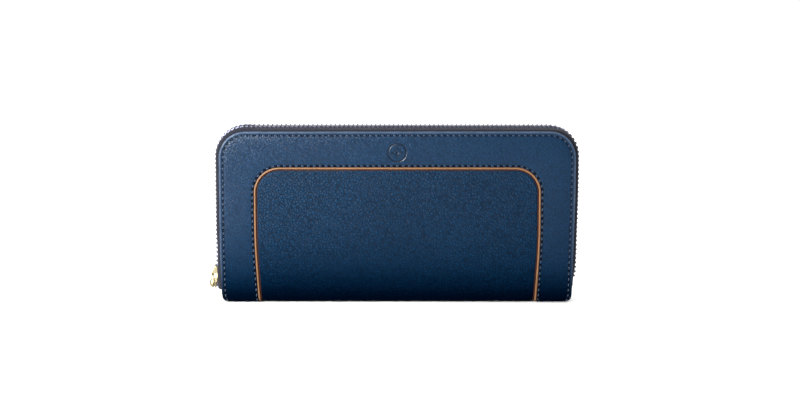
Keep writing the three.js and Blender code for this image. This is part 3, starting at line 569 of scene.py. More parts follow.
def frame_section(name, side):
    corner_in = PIPE_R + 0.62
    cx, cs = PIPE_HALF_X - PIPE_R, PIPE_TOP + PIPE_R
    outer, inner = [], []
    for s in np.arange(S_MID, cs + 0.5, -1.6):
        outer.append((-float(edge_x(s, -1)), s))
        inner.append((-(float(pipe_x(s)) + 0.62), s))
    for a in np.linspace(0, PI / 2, 34):
        ux, us = -math.cos(a), -math.sin(a)
        lo, hi = corner_in, 90.0
        for _ in range(40):
            m = (lo + hi) / 2
            if edge_dist(-cx + ux * m, cs + us * m) > 0:
                lo = m
            else:
                hi = m
        outer.append((-cx + ux * lo, cs + us * lo))
        inner.append((-cx + ux * corner_in, cs + us * corner_in))
    for x in np.linspace(-cx, cx, 72)[1:-1]:
        outer.append((x, 0.0))
        inner.append((x, PIPE_TOP - 0.62))
    n = len(outer)
    k0 = n - 70
    for i in range(k0 - 1, -1, -1):
        x, s = outer[i]
        outer.append((float(edge_x(s, 1)) if s > CORNER_R + 0.05 and abs(x + float(edge_x(s, -1))) < 0.02 else -x, s))
        inner.append((-inner[i][0], inner[i][1]))
    outer, inner = np.array(outer), np.array(inner)
    width = np.hypot(*(inner - outer).T)
    near = [0, 0, 0.06, 0.18, 0.35, 0.6, 0.9, 1.25, 1.6, 2.0, 2.4, 2.9, 3.6, 4.8]
    far = [3.4, 2.2, 1.5, 1.15, 0.85, 0.6, 0.38, 0.18, 0.05, 0, 0]
    verts, edge, low, pipe = [], [], [], []
    m = None
    for (xo, so), (xi, si), w in zip(outer, inner, width):
        u = np.array([xi - xo, si - so]) / w
        ts = list(near) + list(np.linspace(4.8, w - 3.4, 8)[1:-1]) + [w - f for f in far]
        ts = np.array(ts)
        xs, ss = xo + u[0] * ts, so + u[1] * ts
        a = np.maximum(edge_dist(xs, ss), 0)
        b = np.maximum(pipe_dist(xs, ss) - 0.62, 0)
        d = 0.5 * (1 - np.sqrt(np.clip(1 - ((0.7 - np.minimum(a, 0.7)) / 0.7) ** 2, 0, 1)))
        d = d + 0.17 * np.exp(-(((a - 2.0) / 0.62) ** 2)) - 0.05 * np.exp(-(((a - 1.1) / 0.4) ** 2))
        d = d + 0.45 * (1 - np.sqrt(np.clip(1 - ((0.6 - np.minimum(b, 0.6)) / 0.6) ** 2, 0, 1)))
        d = d + 0.14 * np.exp(-(((b - 0.85) / 0.5) ** 2))
        d = d - 0.14 * smooth((a - 2.5) / 4) * smooth((b - 1.5) / 4)
        d = d + 0.05 * np.sin(xs * 0.11 + 1.3) * np.sin(ss * 0.13 + 0.4) * smooth((a - 2.5) / 4) * smooth((b - 1.5) / 4)
        d = d + crown(ss)
        d[0], d[-1] = 1.12, 1.12
        under = np.linspace(w, 0, 6)[1:-1]
        xs = np.concatenate([xs, xo + u[0] * under])
        ss = np.concatenate([ss, so + u[1] * under])
        d = np.concatenate([d, np.full(len(under), 1.12)])
        a = np.concatenate([a, np.full(len(under), 9.0)])
        a[0] = 0.0
        pipe.append(np.concatenate([b, np.full(len(under), 9.0)]))
        ring = np.stack([xs, ss, d], -1)
        m = len(ring)
        verts.append(ring)
        edge.append(a)
        # painted shade towards the base, stored per point as the 'low' attribute
        low.append(painted_base_shade(ss))
    v = np.concatenate(verts)
    ob = make(name, at(v[:, 0], v[:, 1], v[:, 2], side), tube_faces(len(verts), m), MAT["frame"],
              attrs={"edge": np.concatenate(edge), "low": np.concatenate(low), "pipe": np.concatenate(pipe)})
    return fix_normals(ob)


def centre_section(name, side):
    cx, cs, r = PIPE_HALF_X - PIPE_R, PIPE_TOP + PIPE_R, PIPE_R - 0.85
    rows = [cs - r * math.sin(a) for a in np.linspace(PI / 2, 0, 26)[:-1]] + list(np.linspace(cs, S_MID, 48))
    inset = np.array([0, 0, 0.05, 0.15, 0.3, 0.5, 0.8, 1.2, 1.8, 2.6, 4.0, 6.0])
    verts, low = [], []
    for s in rows:
        w = cx + math.sqrt(max(0, r * r - (cs - s) ** 2)) if s < cs else float(pipe_x(s)) - 0.85
        xs = np.concatenate([-w + inset, np.linspace(-w + 6, w - 6, 50)[1:-1], w - inset[::-1]])
        ss = np.full(xs.shape, float(s))
        e = np.maximum(-pipe_dist(xs, ss) - 0.85, 0)
        d = 0.42 + 0.42 * np.exp(-((e / 0.55) ** 2)) - 0.22 * smooth((e - 0.5) / 9)
        d = d + 0.04 * np.sin(xs * 0.07 + 0.6) * np.sin(ss * 0.09 + 1.1) * smooth(e / 6)
        d[0], d[-1] = 1.12, 1.12
        under = np.linspace(w, -w, 8)[1:-1]
        xs = np.concatenate([xs, under])
        ss = np.full(xs.shape, float(s))
        d = np.concatenate([d, np.full(6, 1.12)])
        verts.append(np.stack([xs, ss, d], -1))
        # painted shade towards the base, stored per point as the 'low' attribute
        low.append(painted_base_shade(ss))
    m = len(verts[0])
    v = np.concatenate(verts)
    ob = make(name, at(v[:, 0], v[:, 1], v[:, 2], side), tube_faces(len(verts), m), MAT["grain"],
              attrs={"low": np.concatenate(low)})
    return fix_normals(ob)


def piping_section(name, side):
    p = u_path(0.0, 0.9)
    t = np.gradient(p, axis=0)
    t /= np.hypot(*t.T)[:, None]
    nrm = np.stack([-t[:, 1], t[:, 0]], -1)
    out = np.sign(np.sum(nrm * (p - np.array([0, S_MID])), 1))[:, None] * nrm
    ang = np.linspace(0, 2 * PI, 14, endpoint=False)
    roll, flat = [], []
    for i in range(len(p)):
        for a in ang:
            q = p[i] + out[i] * (0.10 + 0.50 * math.cos(a))
            roll.append((q[0], q[1], 0.26 - 0.56 * math.sin(a)))
        # a strip under the cord, partly the piping's flange and partly painted shade of the gap between cord and panel
        for w, d in ((-1.35, 0.72), (0.1, 0.70), (0.1, 1.05), (-1.35, 1.05)):
            q = p[i] + out[i] * w
            flat.append((q[0], q[1], d))
    v, f = np.array(roll), np.array(flat)
    cord = make(name, at(v[:, 0], v[:, 1], v[:, 2], side), tube_faces(len(p), len(ang)), MAT["piping"])
    strip = make(name + "_flange", at(f[:, 0], f[:, 1], f[:, 2], side), tube_faces(len(p), 4), MAT["flange"])
    return fix_normals(cord), fix_normals(strip)


def fold(ob):
    """Bakes the piece's transform into its mesh."""
    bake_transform(ob)
    return ob


for word, side in (("front", -1), ("back", 1)):
    f = frame_section(f"{word}_frame_leather", side)
    c = centre_section(f"{word}_grain_leather", side)
    p, pf = piping_section(f"{word}_piping_roll", side)
    t1, h1 = stitch_row(f"{word}_edge_stitches", edge_path(2.0), side, 0.17, place=lambda x, s, d: at(x, s, d + crown(s), side))
    t2, h2 = stitch_row(f"{word}_inner_stitches", u_path(1.47), side, 0.12)
    for o in (f, c, p, pf, t1, h1, t2, h2):
        fold(o)
    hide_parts(f"{word}_frame_panel", *(("spine_frame_left", "spine_frame_right") if side < 0 else ()))
    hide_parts(f"{word}_centre_panel", *(("spine_centre_panel",) if side < 0 else ()))
    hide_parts(f"{word}_piping", *(("spine_piping_left", "spine_piping_right") if side < 0 else ()))


# ------------------------------------------------------------------ main zip
def plane_n(sign, z, s):
    if sign < 0:
        return LEG_X - float(edge_x(s, -1))
    if z < 17.5:
        return PLANE_N - 2.6 * ((17.5 - z) / 10.9) ** 1.8
    return PLANE_N


def outline():
    """Stations on the leather outline: x, s, outward direction, tape plane and height."""
    out = []
    for z in np.linspace(OPEN_Z0, LEG_TOP, 50):
        s = s_of_z(z) if z < ARC_H else TOP - z
        out.append((-float(edge_x(s, -1)), s, -1.0, 0.0, plane_n(-1, z, s), z))
    cx = HALF_LENGTH - CORNER_R
    for a in np.linspace(PI, PI / 2, 24)[1:]:
        k = (PI - a) / (PI / 2)
        n = PLANE_N + (LEG_X - HALF_LENGTH - PLANE_N) * (1 - k)
        nx, nz = math.cos(a), math.sin(a)
        out.append((-cx + CORNER_R * nx, CORNER_R - CORNER_R * nz, nx, nz, n, TOP - CORNER_R + CORNER_R * nz))
    for x in np.linspace(-cx, cx, 60)[1:-1]:
        out.append((x, 0.0, 0.0, 1.0, PLANE_N, TOP))
    for a in np.linspace(PI / 2, 0, 24):
        nx, nz = math.cos(a), math.sin(a)
        out.append((cx + CORNER_R * nx, CORNER_R - CORNER_R * nz, nx, nz, PLANE_N, TOP - CORNER_R + CORNER_R * nz))
    for z in np.linspace(LEG_TOP, OPEN_Z0, 56)[1:]:
        s = s_of_z(z) if z < ARC_H else TOP - z
        out.append((float(edge_x(s, 1)), s, 1.0, 0.0, plane_n(1, z, s), z))
    return out


STATIONS = outline()


def tape_piece(name, side):
    rings, uv = [], []
    t = 0.0
    last = None
    for x, s, nx, nz, n, z in STATIONS:
        q = at(x, s, TAPE_D, -1) / MM
        ya, za = float(q[1]), float(q[2])
        top = smooth((80.0 + x) / 5.0) * smooth((88.0 - x) / 5.0) if nz > 0.2 else 0.0
        bow = 0.5 * (1 - float(top)) * float(smooth((z - 30) / 9) if x < 0 else smooth((z - 14) / 10))
        ctrl = np.array([[-6, ya], [-2.5, ya], [-0.5, ya + 0.05], [0.30 + 0.25 * (n - 0.3) + bow * 0.45, ya + 0.8], [n - 0.25 + bow * 1.05, ya + 2.5], [n - 0.02 + bow * 0.8, -5.2], [n, -3.9], [n, -3.15]])
        mid = []
        for i in range(len(ctrl) - 1):
            p0, p1, p2, p3 = ctrl[max(i - 1, 0)], ctrl[i], ctrl[i + 1], ctrl[min(i + 2, len(ctrl) - 1)]
            for f in ((0, 0.5) if i else (0,)):
                mid.append(0.5 * ((2 * p1) + (p2 - p0) * f + (2 * p0 - 5 * p1 + 4 * p2 - p3) * f * f + (3 * p1 - p0 - 3 * p2 + p3) * f ** 3))
        mid.append(ctrl[-1])
        mid = np.array(mid)
        tan = np.gradient(mid, axis=0)
        tan /= np.hypot(*tan.T)[:, None]
        off = np.stack([-tan[:, 1], tan[:, 0]], -1) * 0.22
        ring = np.concatenate([mid + off, (mid - off)[::-1]])
        cum = np.concatenate([[0], np.cumsum(np.hypot(*np.diff(mid, axis=0).T))])
        here = np.array([x + n * nx, za + n * nz])
        if last is not None:
            t += float(np.hypot(*(here - last)))
        last = here
        pts = np.stack([x + ring[:, 0] * nx, ring[:, 1] if side < 0 else -ring[:, 1], za + ring[:, 0] * nz], -1)
        rings.append(pts * MM)
        uv += [(t, c) for c in np.concatenate([cum, cum[::-1]])]
    m = len(rings[0])
    ob = make(name, np.concatenate(rings), tube_faces(len(rings), m), MAT["tape"], uv=uv)
    return fix_normals(ob)


def zip_path():
    pts, nrm = [], []
    for x, s, nx, nz, n, z in STATIONS:
        zz = float(at(x, s, TAPE_D, -1)[2]) / MM if nz == 0 else z
        p = (x + n * nx, zz + n * nz)
        if pts and math.hypot(p[0] - pts[-1][0], p[1] - pts[-1][1]) < 1e-3:
            continue
        pts.append(p)
        nrm.append((nx, nz))
    return np.array(pts), np.array(nrm)


ZP, ZN = zip_path()
ZC = np.concatenate([[0], np.cumsum(np.hypot(*np.diff(ZP, axis=0).T))])


def on_zip(t):
    x, z = np.interp(t, ZC, ZP[:, 0]), np.interp(t, ZC, ZP[:, 1])
    nx, nz = np.interp(t, ZC, ZN[:, 0]), np.interp(t, ZC, ZN[:, 1])
    l = math.hypot(nx, nz)
    return x, z, nx / l, nz / l


def tooth_template():
    """One cast tooth: two legs clamped on the tape's cord, a waist, and a head with a nib."""
    outline_yh = [(-3.3, -0.6), (-3.2, -1.08), (-2.9, -1.34), (-2.2, -1.38), (-1.4, -1.2), (-0.6, -0.92), (0.35, -0.84), (0.78, -0.64), (0.9, -0.22)]
    outline_yh = outline_yh + [(y, -h) for y, h in outline_yh[::-1]]
    base = np.array(outline_yh)
    centre = base.mean(0)
    half = TOOTH_LEN / 2
    rings = []
    for u, k in ((-half, 0.84), (-half + 0.07, 0.95), (-half + 0.16, 1.0), (half - 0.16, 1.0), (half - 0.07, 0.95), (half, 0.84)):
        ring = centre + (base - centre) * np.array([1 - (1 - k) * 0.45, k])
        # the waist behind the head is a little thinner along the chain
        uu = np.where((base[:, 0] > -2.0) & (base[:, 0] < -0.4), u * 0.86, u)
        rings.append(np.stack([uu, ring[:, 0], ring[:, 1]], -1))
    return np.concatenate(rings), tube_faces(len(rings), len(base))


TOOTH_V, TOOTH_F = tooth_template()


def teeth_piece(name, side, part):
    t0 = 0.0
    while on_zip(t0)[1] < TEETH_Z0:
        t0 += 0.01
    if side > 0:
        t0 += TOOTH_PITCH / 2
    verts, faces = [], []
    starts = []
    t = t0
    while t + TOOTH_LEN < ZC[-1]:
        x, z, nx, nz = on_zip(t + TOOTH_LEN)
        if x > 0 and z < TEETH_Z1:
            break
        if (x < 0 and z < LEG_TOP) == (part == "leg"):
            starts.append(t)
        t += TOOTH_PITCH
    sg = 1 if side < 0 else -1
    for t in starts:
        x, z, nx, nz = on_zip(t + TOOTH_LEN / 2)
        tx, tz = nz, -nx
        base = len(verts) and sum(len(v) for v in verts)
        px = x + tx * TOOTH_V[:, 0] + nx * TOOTH_V[:, 2]
        pz = z + tz * TOOTH_V[:, 0] + nz * TOOTH_V[:, 2]
        verts.append(np.stack([px, sg * TOOTH_V[:, 1], pz], -1) * MM)
        faces += [tuple(base + i for i in f) for f in TOOTH_F]
    # the cord in the tape's edge, which the teeth grip
    ts = np.arange(starts[0] - 0.6, starts[-1] + TOOTH_LEN + 0.6, 1.2)
    ang = np.linspace(0, 2 * PI, 8, endpoint=False)
    base = sum(len(v) for v in verts)
    cord = []
    for t in ts:
        x, z, nx, nz = on_zip(t)
        for a in ang:
            h, y = 0.42 * math.sin(a), -2.8 + 0.42 * math.cos(a)
            cord.append((x + h * nx, sg * y, z + h * nz))
    verts.append(np.array(cord) * MM)
    faces += [tuple(base + i for i in f) for f in tube_faces(len(ts), 8)]
    ob = make(name, np.concatenate(verts), faces, MAT["teeth"], shade=False)
    ob.data.materials.append(MAT["tape"])
    fix_normals(ob)
    for poly in ob.data.polygons:
        if min(poly.vertices) >= base:
            poly.material_index = 1
            poly.use_smooth = True
    return ob


for word, side in (("front", -1), ("back", 1)):
    body = f"{word}_cover"
    tp = tape_piece(f"{word}_tape_cloth", side)
    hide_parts(f"zip_tape_{word}")
    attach(tp, body)
    tm = teeth_piece(f"{word}_chain", side, "main")
    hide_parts(f"zip_teeth_{word}")
    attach(tm, body)
    tl = teeth_piece(f"{word}_chain_leg", side, "leg")
    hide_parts(f"zip_teeth_{word}_leg")
    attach(tl, body)
    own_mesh(tl)

# ------------------------------------------------------------------ carried-over hard parts
def repaint(nodes, material, width=None, segments=2, angle=35):
    for n in nodes:
        o = bpy.data.objects.get(n)
        if o is None:
            o = frame["nodes"][n] if isinstance(frame["nodes"], dict) and hasattr(frame["nodes"][n], "data") else None
        o.data.materials.clear()
        o.data.materials.append(material)
        if width:
            bevel(o, width, segments, angle)


repaint(["main_slider_pin", "coin_slider_body", "coin_pull_tab"], MAT["gold"], 0.14, 3, 30)
repaint(["zip_top_stop_front", "zip_top_stop_back", "zip_bottom_stop_front", "zip_bottom_stop_back"], MAT["teeth"], 0.25, 3, 30)
repaint(["front_board", "back_board"], MAT["board"], 0.1)


# ------------------------------------------------------------------ main slider and its drop pull
SLIDER_Z, SL_IN, SL_OUT, SL_NOSE, SL_TAIL, SL_LEN, PIN_U, PIN_W = 6.7, 1.45, 2.2, 4.9, 3.95, 12.6, 7.6, 3.3


def on_slider(u, v, w):
    """u up the chain, v across it, w out of the tape plane."""
    return (-(LEG_X + w) * MM, v * MM, (SLIDER_Z + u) * MM)


class Shells:
    def __init__(self):
        self.verts, self.faces = [], []

    def prism(self, poly, lo, hi, place):
        base, m = len(self.verts), len(poly)
        for a in (lo, hi):
            self.verts += [place(p, q, a) for p, q in poly]
        self.faces += [tuple(base + i for i in f) for f in tube_faces(2, m)]

    def rings(self, rings, closed=False):
        base = len(self.verts)
        for r in rings:
            self.verts += r
        self.faces += [tuple(base + i for i in f) for f in tube_faces(len(rings), len(rings[0]), closed)]


sh_ = Shells()
plate = [(0.0, -SL_NOSE + 2.6), (0.0, SL_NOSE - 2.6), (0.3, SL_NOSE - 1.95), (0.9, SL_NOSE - 1.3), (1.8, SL_NOSE - 0.6), (2.8, SL_NOSE - 0.15), (3.8, SL_NOSE), (5.0, SL_NOSE - 0.03),
         (6.2, SL_NOSE - 0.2), (7.2, SL_NOSE - 0.6), (8.2, SL_TAIL), (SL_LEN - 0.7, SL_TAIL), (SL_LEN - 0.2, SL_TAIL - 0.25), (SL_LEN, SL_TAIL - 0.8)]
plate += [(u, -v) for u, v in plate[:1:-1]]
for lo, hi in ((SL_IN, SL_OUT), (-SL_OUT, -SL_IN)):
    sh_.prism(plate, lo, hi, on_slider)
sh_.prism([(0.7, 0), (1.1, -0.6), (1.8, -0.88), (3.0, -0.85), (4.6, -0.2), (4.6, 0.2), (3.0, 0.85), (1.8, 0.88), (1.1, 0.6)], -SL_IN - 0.3, SL_IN + 0.3, on_slider)
for v in (-1, 1):
    for w in (-1, 1):
        fl_ = [(3.8, v * (SL_NOSE - 0.8)), (3.8, v * (SL_NOSE - 0.05)), (6.2, v * (SL_NOSE - 0.22)), (8.2, v * (SL_TAIL - 0.03)), (SL_LEN - 0.7, v * (SL_TAIL - 0.03)),
               (SL_LEN - 0.7, v * (SL_TAIL - 0.62)), (8.2, v * (SL_TAIL - 0.62)), (6.2, v * (SL_NOSE - 0.85))]
        sh_.prism(fl_, 0.6 if w > 0 else -SL_IN - 0.2, SL_IN + 0.2 if w > 0 else -0.6, on_slider)
    ear = [(-1.9, -0.2), (-1.45, 0.55), (-1.0, 1.3), (-0.6, 1.72), (0.0, 1.9), (0.6, 1.8), (1.3, 1.5), (2.6, 0.95), (4.0, 0.25), (4.3, -0.2)]
    lo, hi = sorted((v * 1.35, v * 2.1))
    sh_.prism(ear, lo, hi, lambda a, c, t: on_slider(PIN_U + a, t, SL_OUT - 0.05 + c))
slider = fix_normals(make("slider_body_gold", sh_.verts, sh_.faces, MAT["gold"], shade=False))
bevel(slider, 0.17, 3, 28)
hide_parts("main_slider")
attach(slider, "zip_slider")

DROP = np.array([(0.70, 0.93, 0.5, 0.5), (1.5, 0.95, 0.6, 0.65), (2.4, 1.35, 0.76, 1.0), (3.4, 2.0, 0.9, 1.5), (4.5, 2.5, 0.95, 1.9), (5.5, 2.6, 0.95, 2.0),
                 (6.4, 2.3, 0.85, 1.8), (7.1, 1.65, 0.66, 1.3), (7.6, 0.6, 0.25, 0.5)])
sh_ = Shells()
rings = []
for t in np.linspace(0, len(DROP) - 1, 49):
    i = min(int(t), len(DROP) - 2)
    f = t - i
    p0, p1, p2, p3 = DROP[max(i - 1, 0)], DROP[i], DROP[i + 1], DROP[min(i + 2, len(DROP) - 1)]
    u, hw, lo, hi = 0.5 * ((2 * p1) + (p2 - p0) * f + (2 * p0 - 5 * p1 + 4 * p2 - p3) * f * f + (3 * p1 - p0 - 3 * p2 + p3) * f ** 3)
    ring = []
    for a in np.linspace(0, 2 * PI, 32, endpoint=False):
        c, n = math.cos(a), math.sin(a)
        v = math.copysign(abs(c) ** 0.86, c) * hw
        w = math.copysign(abs(n) ** 0.9, n) * (hi if n > 0 else lo)
        ring.append(on_slider(PIN_U - u, v, PIN_W + w))
    rings.append(ring)
sh_.rings(rings)
# the eye round the pin
sec = [(0.63, -1.0), (0.70, -1.1), (0.84, -1.13), (0.93, -1.02), (0.95, -0.8), (0.95, 0.8), (0.93, 1.02), (0.84, 1.13), (0.70, 1.1), (0.63, 1.0)]
sh_.rings([[on_slider(PIN_U + r * math.cos(a), v, PIN_W + r * math.sin(a)) for r, v in sec] for a in np.linspace(0, 2 * PI, 32, endpoint=False)], closed=True)
drop = fix_normals(make("pull_drop_gold", sh_.verts, sh_.faces, MAT["gold"]))
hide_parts("main_pull")
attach(drop, "zip_pull")


# ------------------------------------------------------------------ inside
def panel_piece(name, side, s0, s1, x0, x1, d0, t, material, corner=3.0, stitched=True, mouth=0.0, rows=26, cols=30, attrs=True):
    """A leather or cloth panel lying on the wall at depth d0, with rounded upper corners and softened edges."""
    ss = np.concatenate([s0 + corner * (1 - np.sin(np.linspace(PI / 2, 0, 7)))[:-1], np.linspace(s0 + corner, s1, rows)])
    verts, edge = [], []
    for s in ss:
        u = max(0.0, s0 + corner - s)
        pull = corner - math.sqrt(max(0, corner * corner - u * u))
        a, b = x0(s) if callable(x0) else x0, x1(s) if callable(x1) else x1
        a, b = a + pull, b - pull
        xs = np.concatenate([[a, a, a + 0.08, a + 0.3, a + 0.9], np.linspace(a + 2.2, b - 2.2, cols), [b - 0.9, b - 0.3, b - 0.08, b, b]])
        e = np.minimum(np.minimum(xs - a, b - xs), s - s0)
        soft = t * 0.45 * (1 - smooth(np.maximum(e, 0) / 0.35))
        bow = mouth * np.sin(PI * np.clip((xs - a) / (b - a), 0, 1)) * math.exp(-(s - s0) / 7)
        top = d0 + t - soft + bow
        crease = 0.08 * np.exp(-(((s - s0 - 1.3) / 0.28) ** 2)) if stitched else 0
        top = top - crease
        bot = d0 + soft + bow
        low = np.linspace(b, a, 12)[1:-1]
        top[0], top[-1] = bot[0], bot[-1]
        xs2 = np.concatenate([xs, low])
        bowl = mouth * np.sin(PI * np.clip((low - a) / (b - a), 0, 1)) * math.exp(-(s - s0) / 7)
        dd = np.concatenate([top, d0 + bowl])
        verts.append(np.stack([xs2, np.full(xs2.shape, float(s)), dd], -1))
        edge.append(np.concatenate([np.maximum(e, 0), np.full(10, 9.0)]))
    v = np.concatenate(verts)
    ob = make(name, at(v[:, 0], v[:, 1], v[:, 2], side), tube_faces(len(verts), len(verts[0])), material,
              attrs={"edge": np.concatenate(edge)})
    return fix_normals(ob)


def stitch_line(name, side, pts, depth):
    return stitch_row(name, np.array(pts, float), side, depth, length=1.9, radius=0.2, pitch=2.8)


CARD_TOPS = [10, 22, 34, 46]
BOTTOM = s_of_z(10.5)
for word, side in (("front", -1), ("back", 1)):
    body = f"{word}_cover"
    lin = panel_piece(f"{word}_lining_cloth", side, 0.8, S_FOLD - 0.4, lambda s: -(float(edge_x(s, -1)) - 0.8), lambda s: float(edge_x(s, 1)) - 0.8, 2.15, 0.3, MAT["lining"], corner=13.2, stitched=False)
    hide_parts(f"{word}_lining")
    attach(lin, body)
    sl = panel_piece(f"{word}_slip_leather", side, 6.5, s_of_z(9), -90, 90, 2.7, 0.5, MAT["inner"], corner=6)
    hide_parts(f"{word}_slip_panel")
    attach(sl, body)
    th = stitch_line(f"{word}_slip_stitches", side, [(-88.6, s_of_z(12)), (-88.6, 9)], 3.16) + stitch_line(f"{word}_slip_stitches_b", side, [(88.6, s_of_z(12)), (88.6, 9)], 3.16)
    for o in th:
        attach(o, body)
    count = 4 if side < 0 else 2
    for col, x0, x1 in (("left", -90, -1.2), ("right", 1.2, 90)):
        for i in range(count):
            d0 = 3.25 + 0.5 * i
            top = CARD_TOPS[i] + (0 if side < 0 else 2)
            last = i == count - 1
            pc = panel_piece(f"{word}_{col}_card_leather_{i + 1}", side, top, BOTTOM, x0, x1, d0, 0.45, MAT["inner"], corner=2.0, mouth=0.25 if (side < 0 and last) or i == 0 else 0.1, rows=18, cols=18)
            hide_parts(f"{word}_card_{col}_{i + 1}")
            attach(pc, body)
            for o in stitch_line(f"{word}_{col}_card_stitches_{i + 1}", side, [(x0 + 1.6 if col == "left" else x1 - 1.6, (CARD_TOPS[i + 1] if not last or side > 0 and False else BOTTOM - 1)), (x0 + 1.6 if col == "left" else x1 - 1.6, top + 2.2)], d0 + 0.42):
                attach(o, body)
    if side > 0:
        wp = panel_piece("back_wide_leather", side, 38, BOTTOM, -90, 90, 4.25, 0.45, MAT["inner"], corner=2.5, mouth=0.35)
        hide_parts("back_wide_pocket")
        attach(wp, body)
        for x in (-88.6, 88.6):
            for o in stitch_line(f"back_wide_stitches_{'left' if x < 0 else 'right'}", side, [(x, BOTTOM - 1), (x, 40.4)], 4.68):
                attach(o, body)


def loft_x(name, section, x0, x1, material, n=40, bevel_mm=0.12, wave=0.0):
    """A section in y and z drawn out along x, with a slight soft wave."""
    sec = np.array(section, float)
    inset = min(0.5, 0.2 * (x1 - x0))
    xs = np.concatenate([[x0], np.linspace(x0 + inset, x1 - inset, n), [x1]])
    verts = []
    for i, x in enumerate(xs):
        ring = sec.copy()
        ring[:, 0] += wave * math.sin(x * 0.12 + 0.7)
        verts.append(np.stack([np.full(len(sec), x), ring[:, 0], ring[:, 1]], -1) * MM)
    ob = make(name, np.concatenate(verts), tube_faces(len(xs), len(sec)), material, attrs={"edge": np.full(len(xs) * len(sec), 5.0)})
    fix_normals(ob)
    ob.data.polygons.foreach_set("use_smooth", [True] * len(ob.data.polygons))
    if bevel_mm:
        bevel(ob, bevel_mm, 2, 40)
    return ob


POCKET_X, POCKET_Z0, POCKET_Z1, COIN_Z = 88, 9, 79.0, 79.4


def wall_section(g):
    outer = [(2.3, POCKET_Z0)] + [(2.3 + 1.6 * smooth((z - 62) / 18) * (1 if z < 79.5 else 1), z) for z in np.linspace(12, POCKET_Z1, 30)]
    inner = [(y - 0.48, z) for y, z in outer[::-1]]
    return [(g * float(y), z) for y, z in outer + inner]


for word, g in (("front", -1), ("back", 1)):
    w = loft_x(f"coin_wall_leather_{word}", wall_section(g), -POCKET_X, POCKET_X, MAT["inner"], bevel_mm=0.15, wave=0.0)
    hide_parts(f"coin_pocket_{word}")
    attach(w, "spine")
    tp = loft_x(f"coin_tape_cloth_{word}", [(g * 1.3, COIN_Z - 0.16), (g * 2.4, COIN_Z - 0.17), (g * 3.9, COIN_Z - 0.17), (g * 3.9, COIN_Z + 0.17), (g * 2.4, COIN_Z + 0.17), (g * 1.3, COIN_Z + 0.16)], -84, 84, MAT["tape"], bevel_mm=0.05)
    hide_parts(f"coin_zip_tape_{word}")
    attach(tp, "spine")
    # nylon coil: a flattened helix
    xs = np.arange(-78, 72.6, 0.13)
    pitch = 1.05
    ang = np.linspace(0, 2 * PI, 6, endpoint=False)
    verts = []
    for x in xs:
        ph = 2 * PI * (x + (pitch / 2 if g > 0 else 0)) / pitch
        cy, cz = g * (0.68 + 0.40 * math.cos(ph)), COIN_Z + 0.42 * math.sin(ph)
        for a in ang:
            verts.append((x + 0.12 * math.cos(a), cy + 0.13 * math.sin(a) * math.cos(ph), cz + 0.13 * math.sin(a) * math.sin(ph)))
    co = make(f"coin_coil_{word}", np.array(verts) * MM, tube_faces(len(xs), 6), MAT["coil"])
    fix_normals(co)
    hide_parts(f"coin_zip_coil_{word}")
    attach(co, "spine")
    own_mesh(co)

for word, g in (("left", -1), ("right", 1)):
    sec = [(-2.3, POCKET_Z0 - 1.3), (2.3, POCKET_Z0 - 1.3)] + [(2.3 + 1.6 * float(smooth((z - 62) / 18)), z) for z in np.linspace(12, POCKET_Z1, 24)]
    sec += [(-y, z) for y, z in sec[::-1][:-2]]
    x = sorted((g * (POCKET_X + 0.3), g * (POCKET_X + 1.3)))
    sp = loft_x(f"coin_side_leather_{word}", sec, x[0], x[1], MAT["inner"], n=3, bevel_mm=0.2)
    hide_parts(f"coin_pocket_side_{word}")
    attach(sp, "spine")
b = loft_x("coin_base_leather", [(-2.3, 7.7), (2.3, 7.7), (2.3, 8.2), (2.3, 8.7), (-2.3, 8.7), (-2.3, 8.2)], -POCKET_X, POCKET_X, MAT["inner"], bevel_mm=0.2)
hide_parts("coin_pocket_base")
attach(b, "spine")

# spine lining: follows the inside of the fold
ss = np.linspace(S_FOLD + 0.1, 2 * S_MID - S_FOLD - 0.1, 40)
rings, ed = [], []
for s in ss:
    k = min(s, 2 * S_MID - s)
    xs = np.linspace(-(float(edge_x(k, -1)) - 0.8), float(edge_x(k, 1)) - 0.8, 40)
    up = at(xs, np.full(40, k), np.full(40, 1.3), -1 if s <= S_MID else 1)
    dn = at(xs[::-1], np.full(40, k), np.full(40, 1.7), -1 if s <= S_MID else 1)
    rings.append(np.concatenate([up, dn]))
sl = make("spine_lining_cloth", np.concatenate(rings), tube_faces(len(rings), 80), MAT["lining"])
fix_normals(sl)
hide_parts("spine_lining")
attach(sl, "spine")
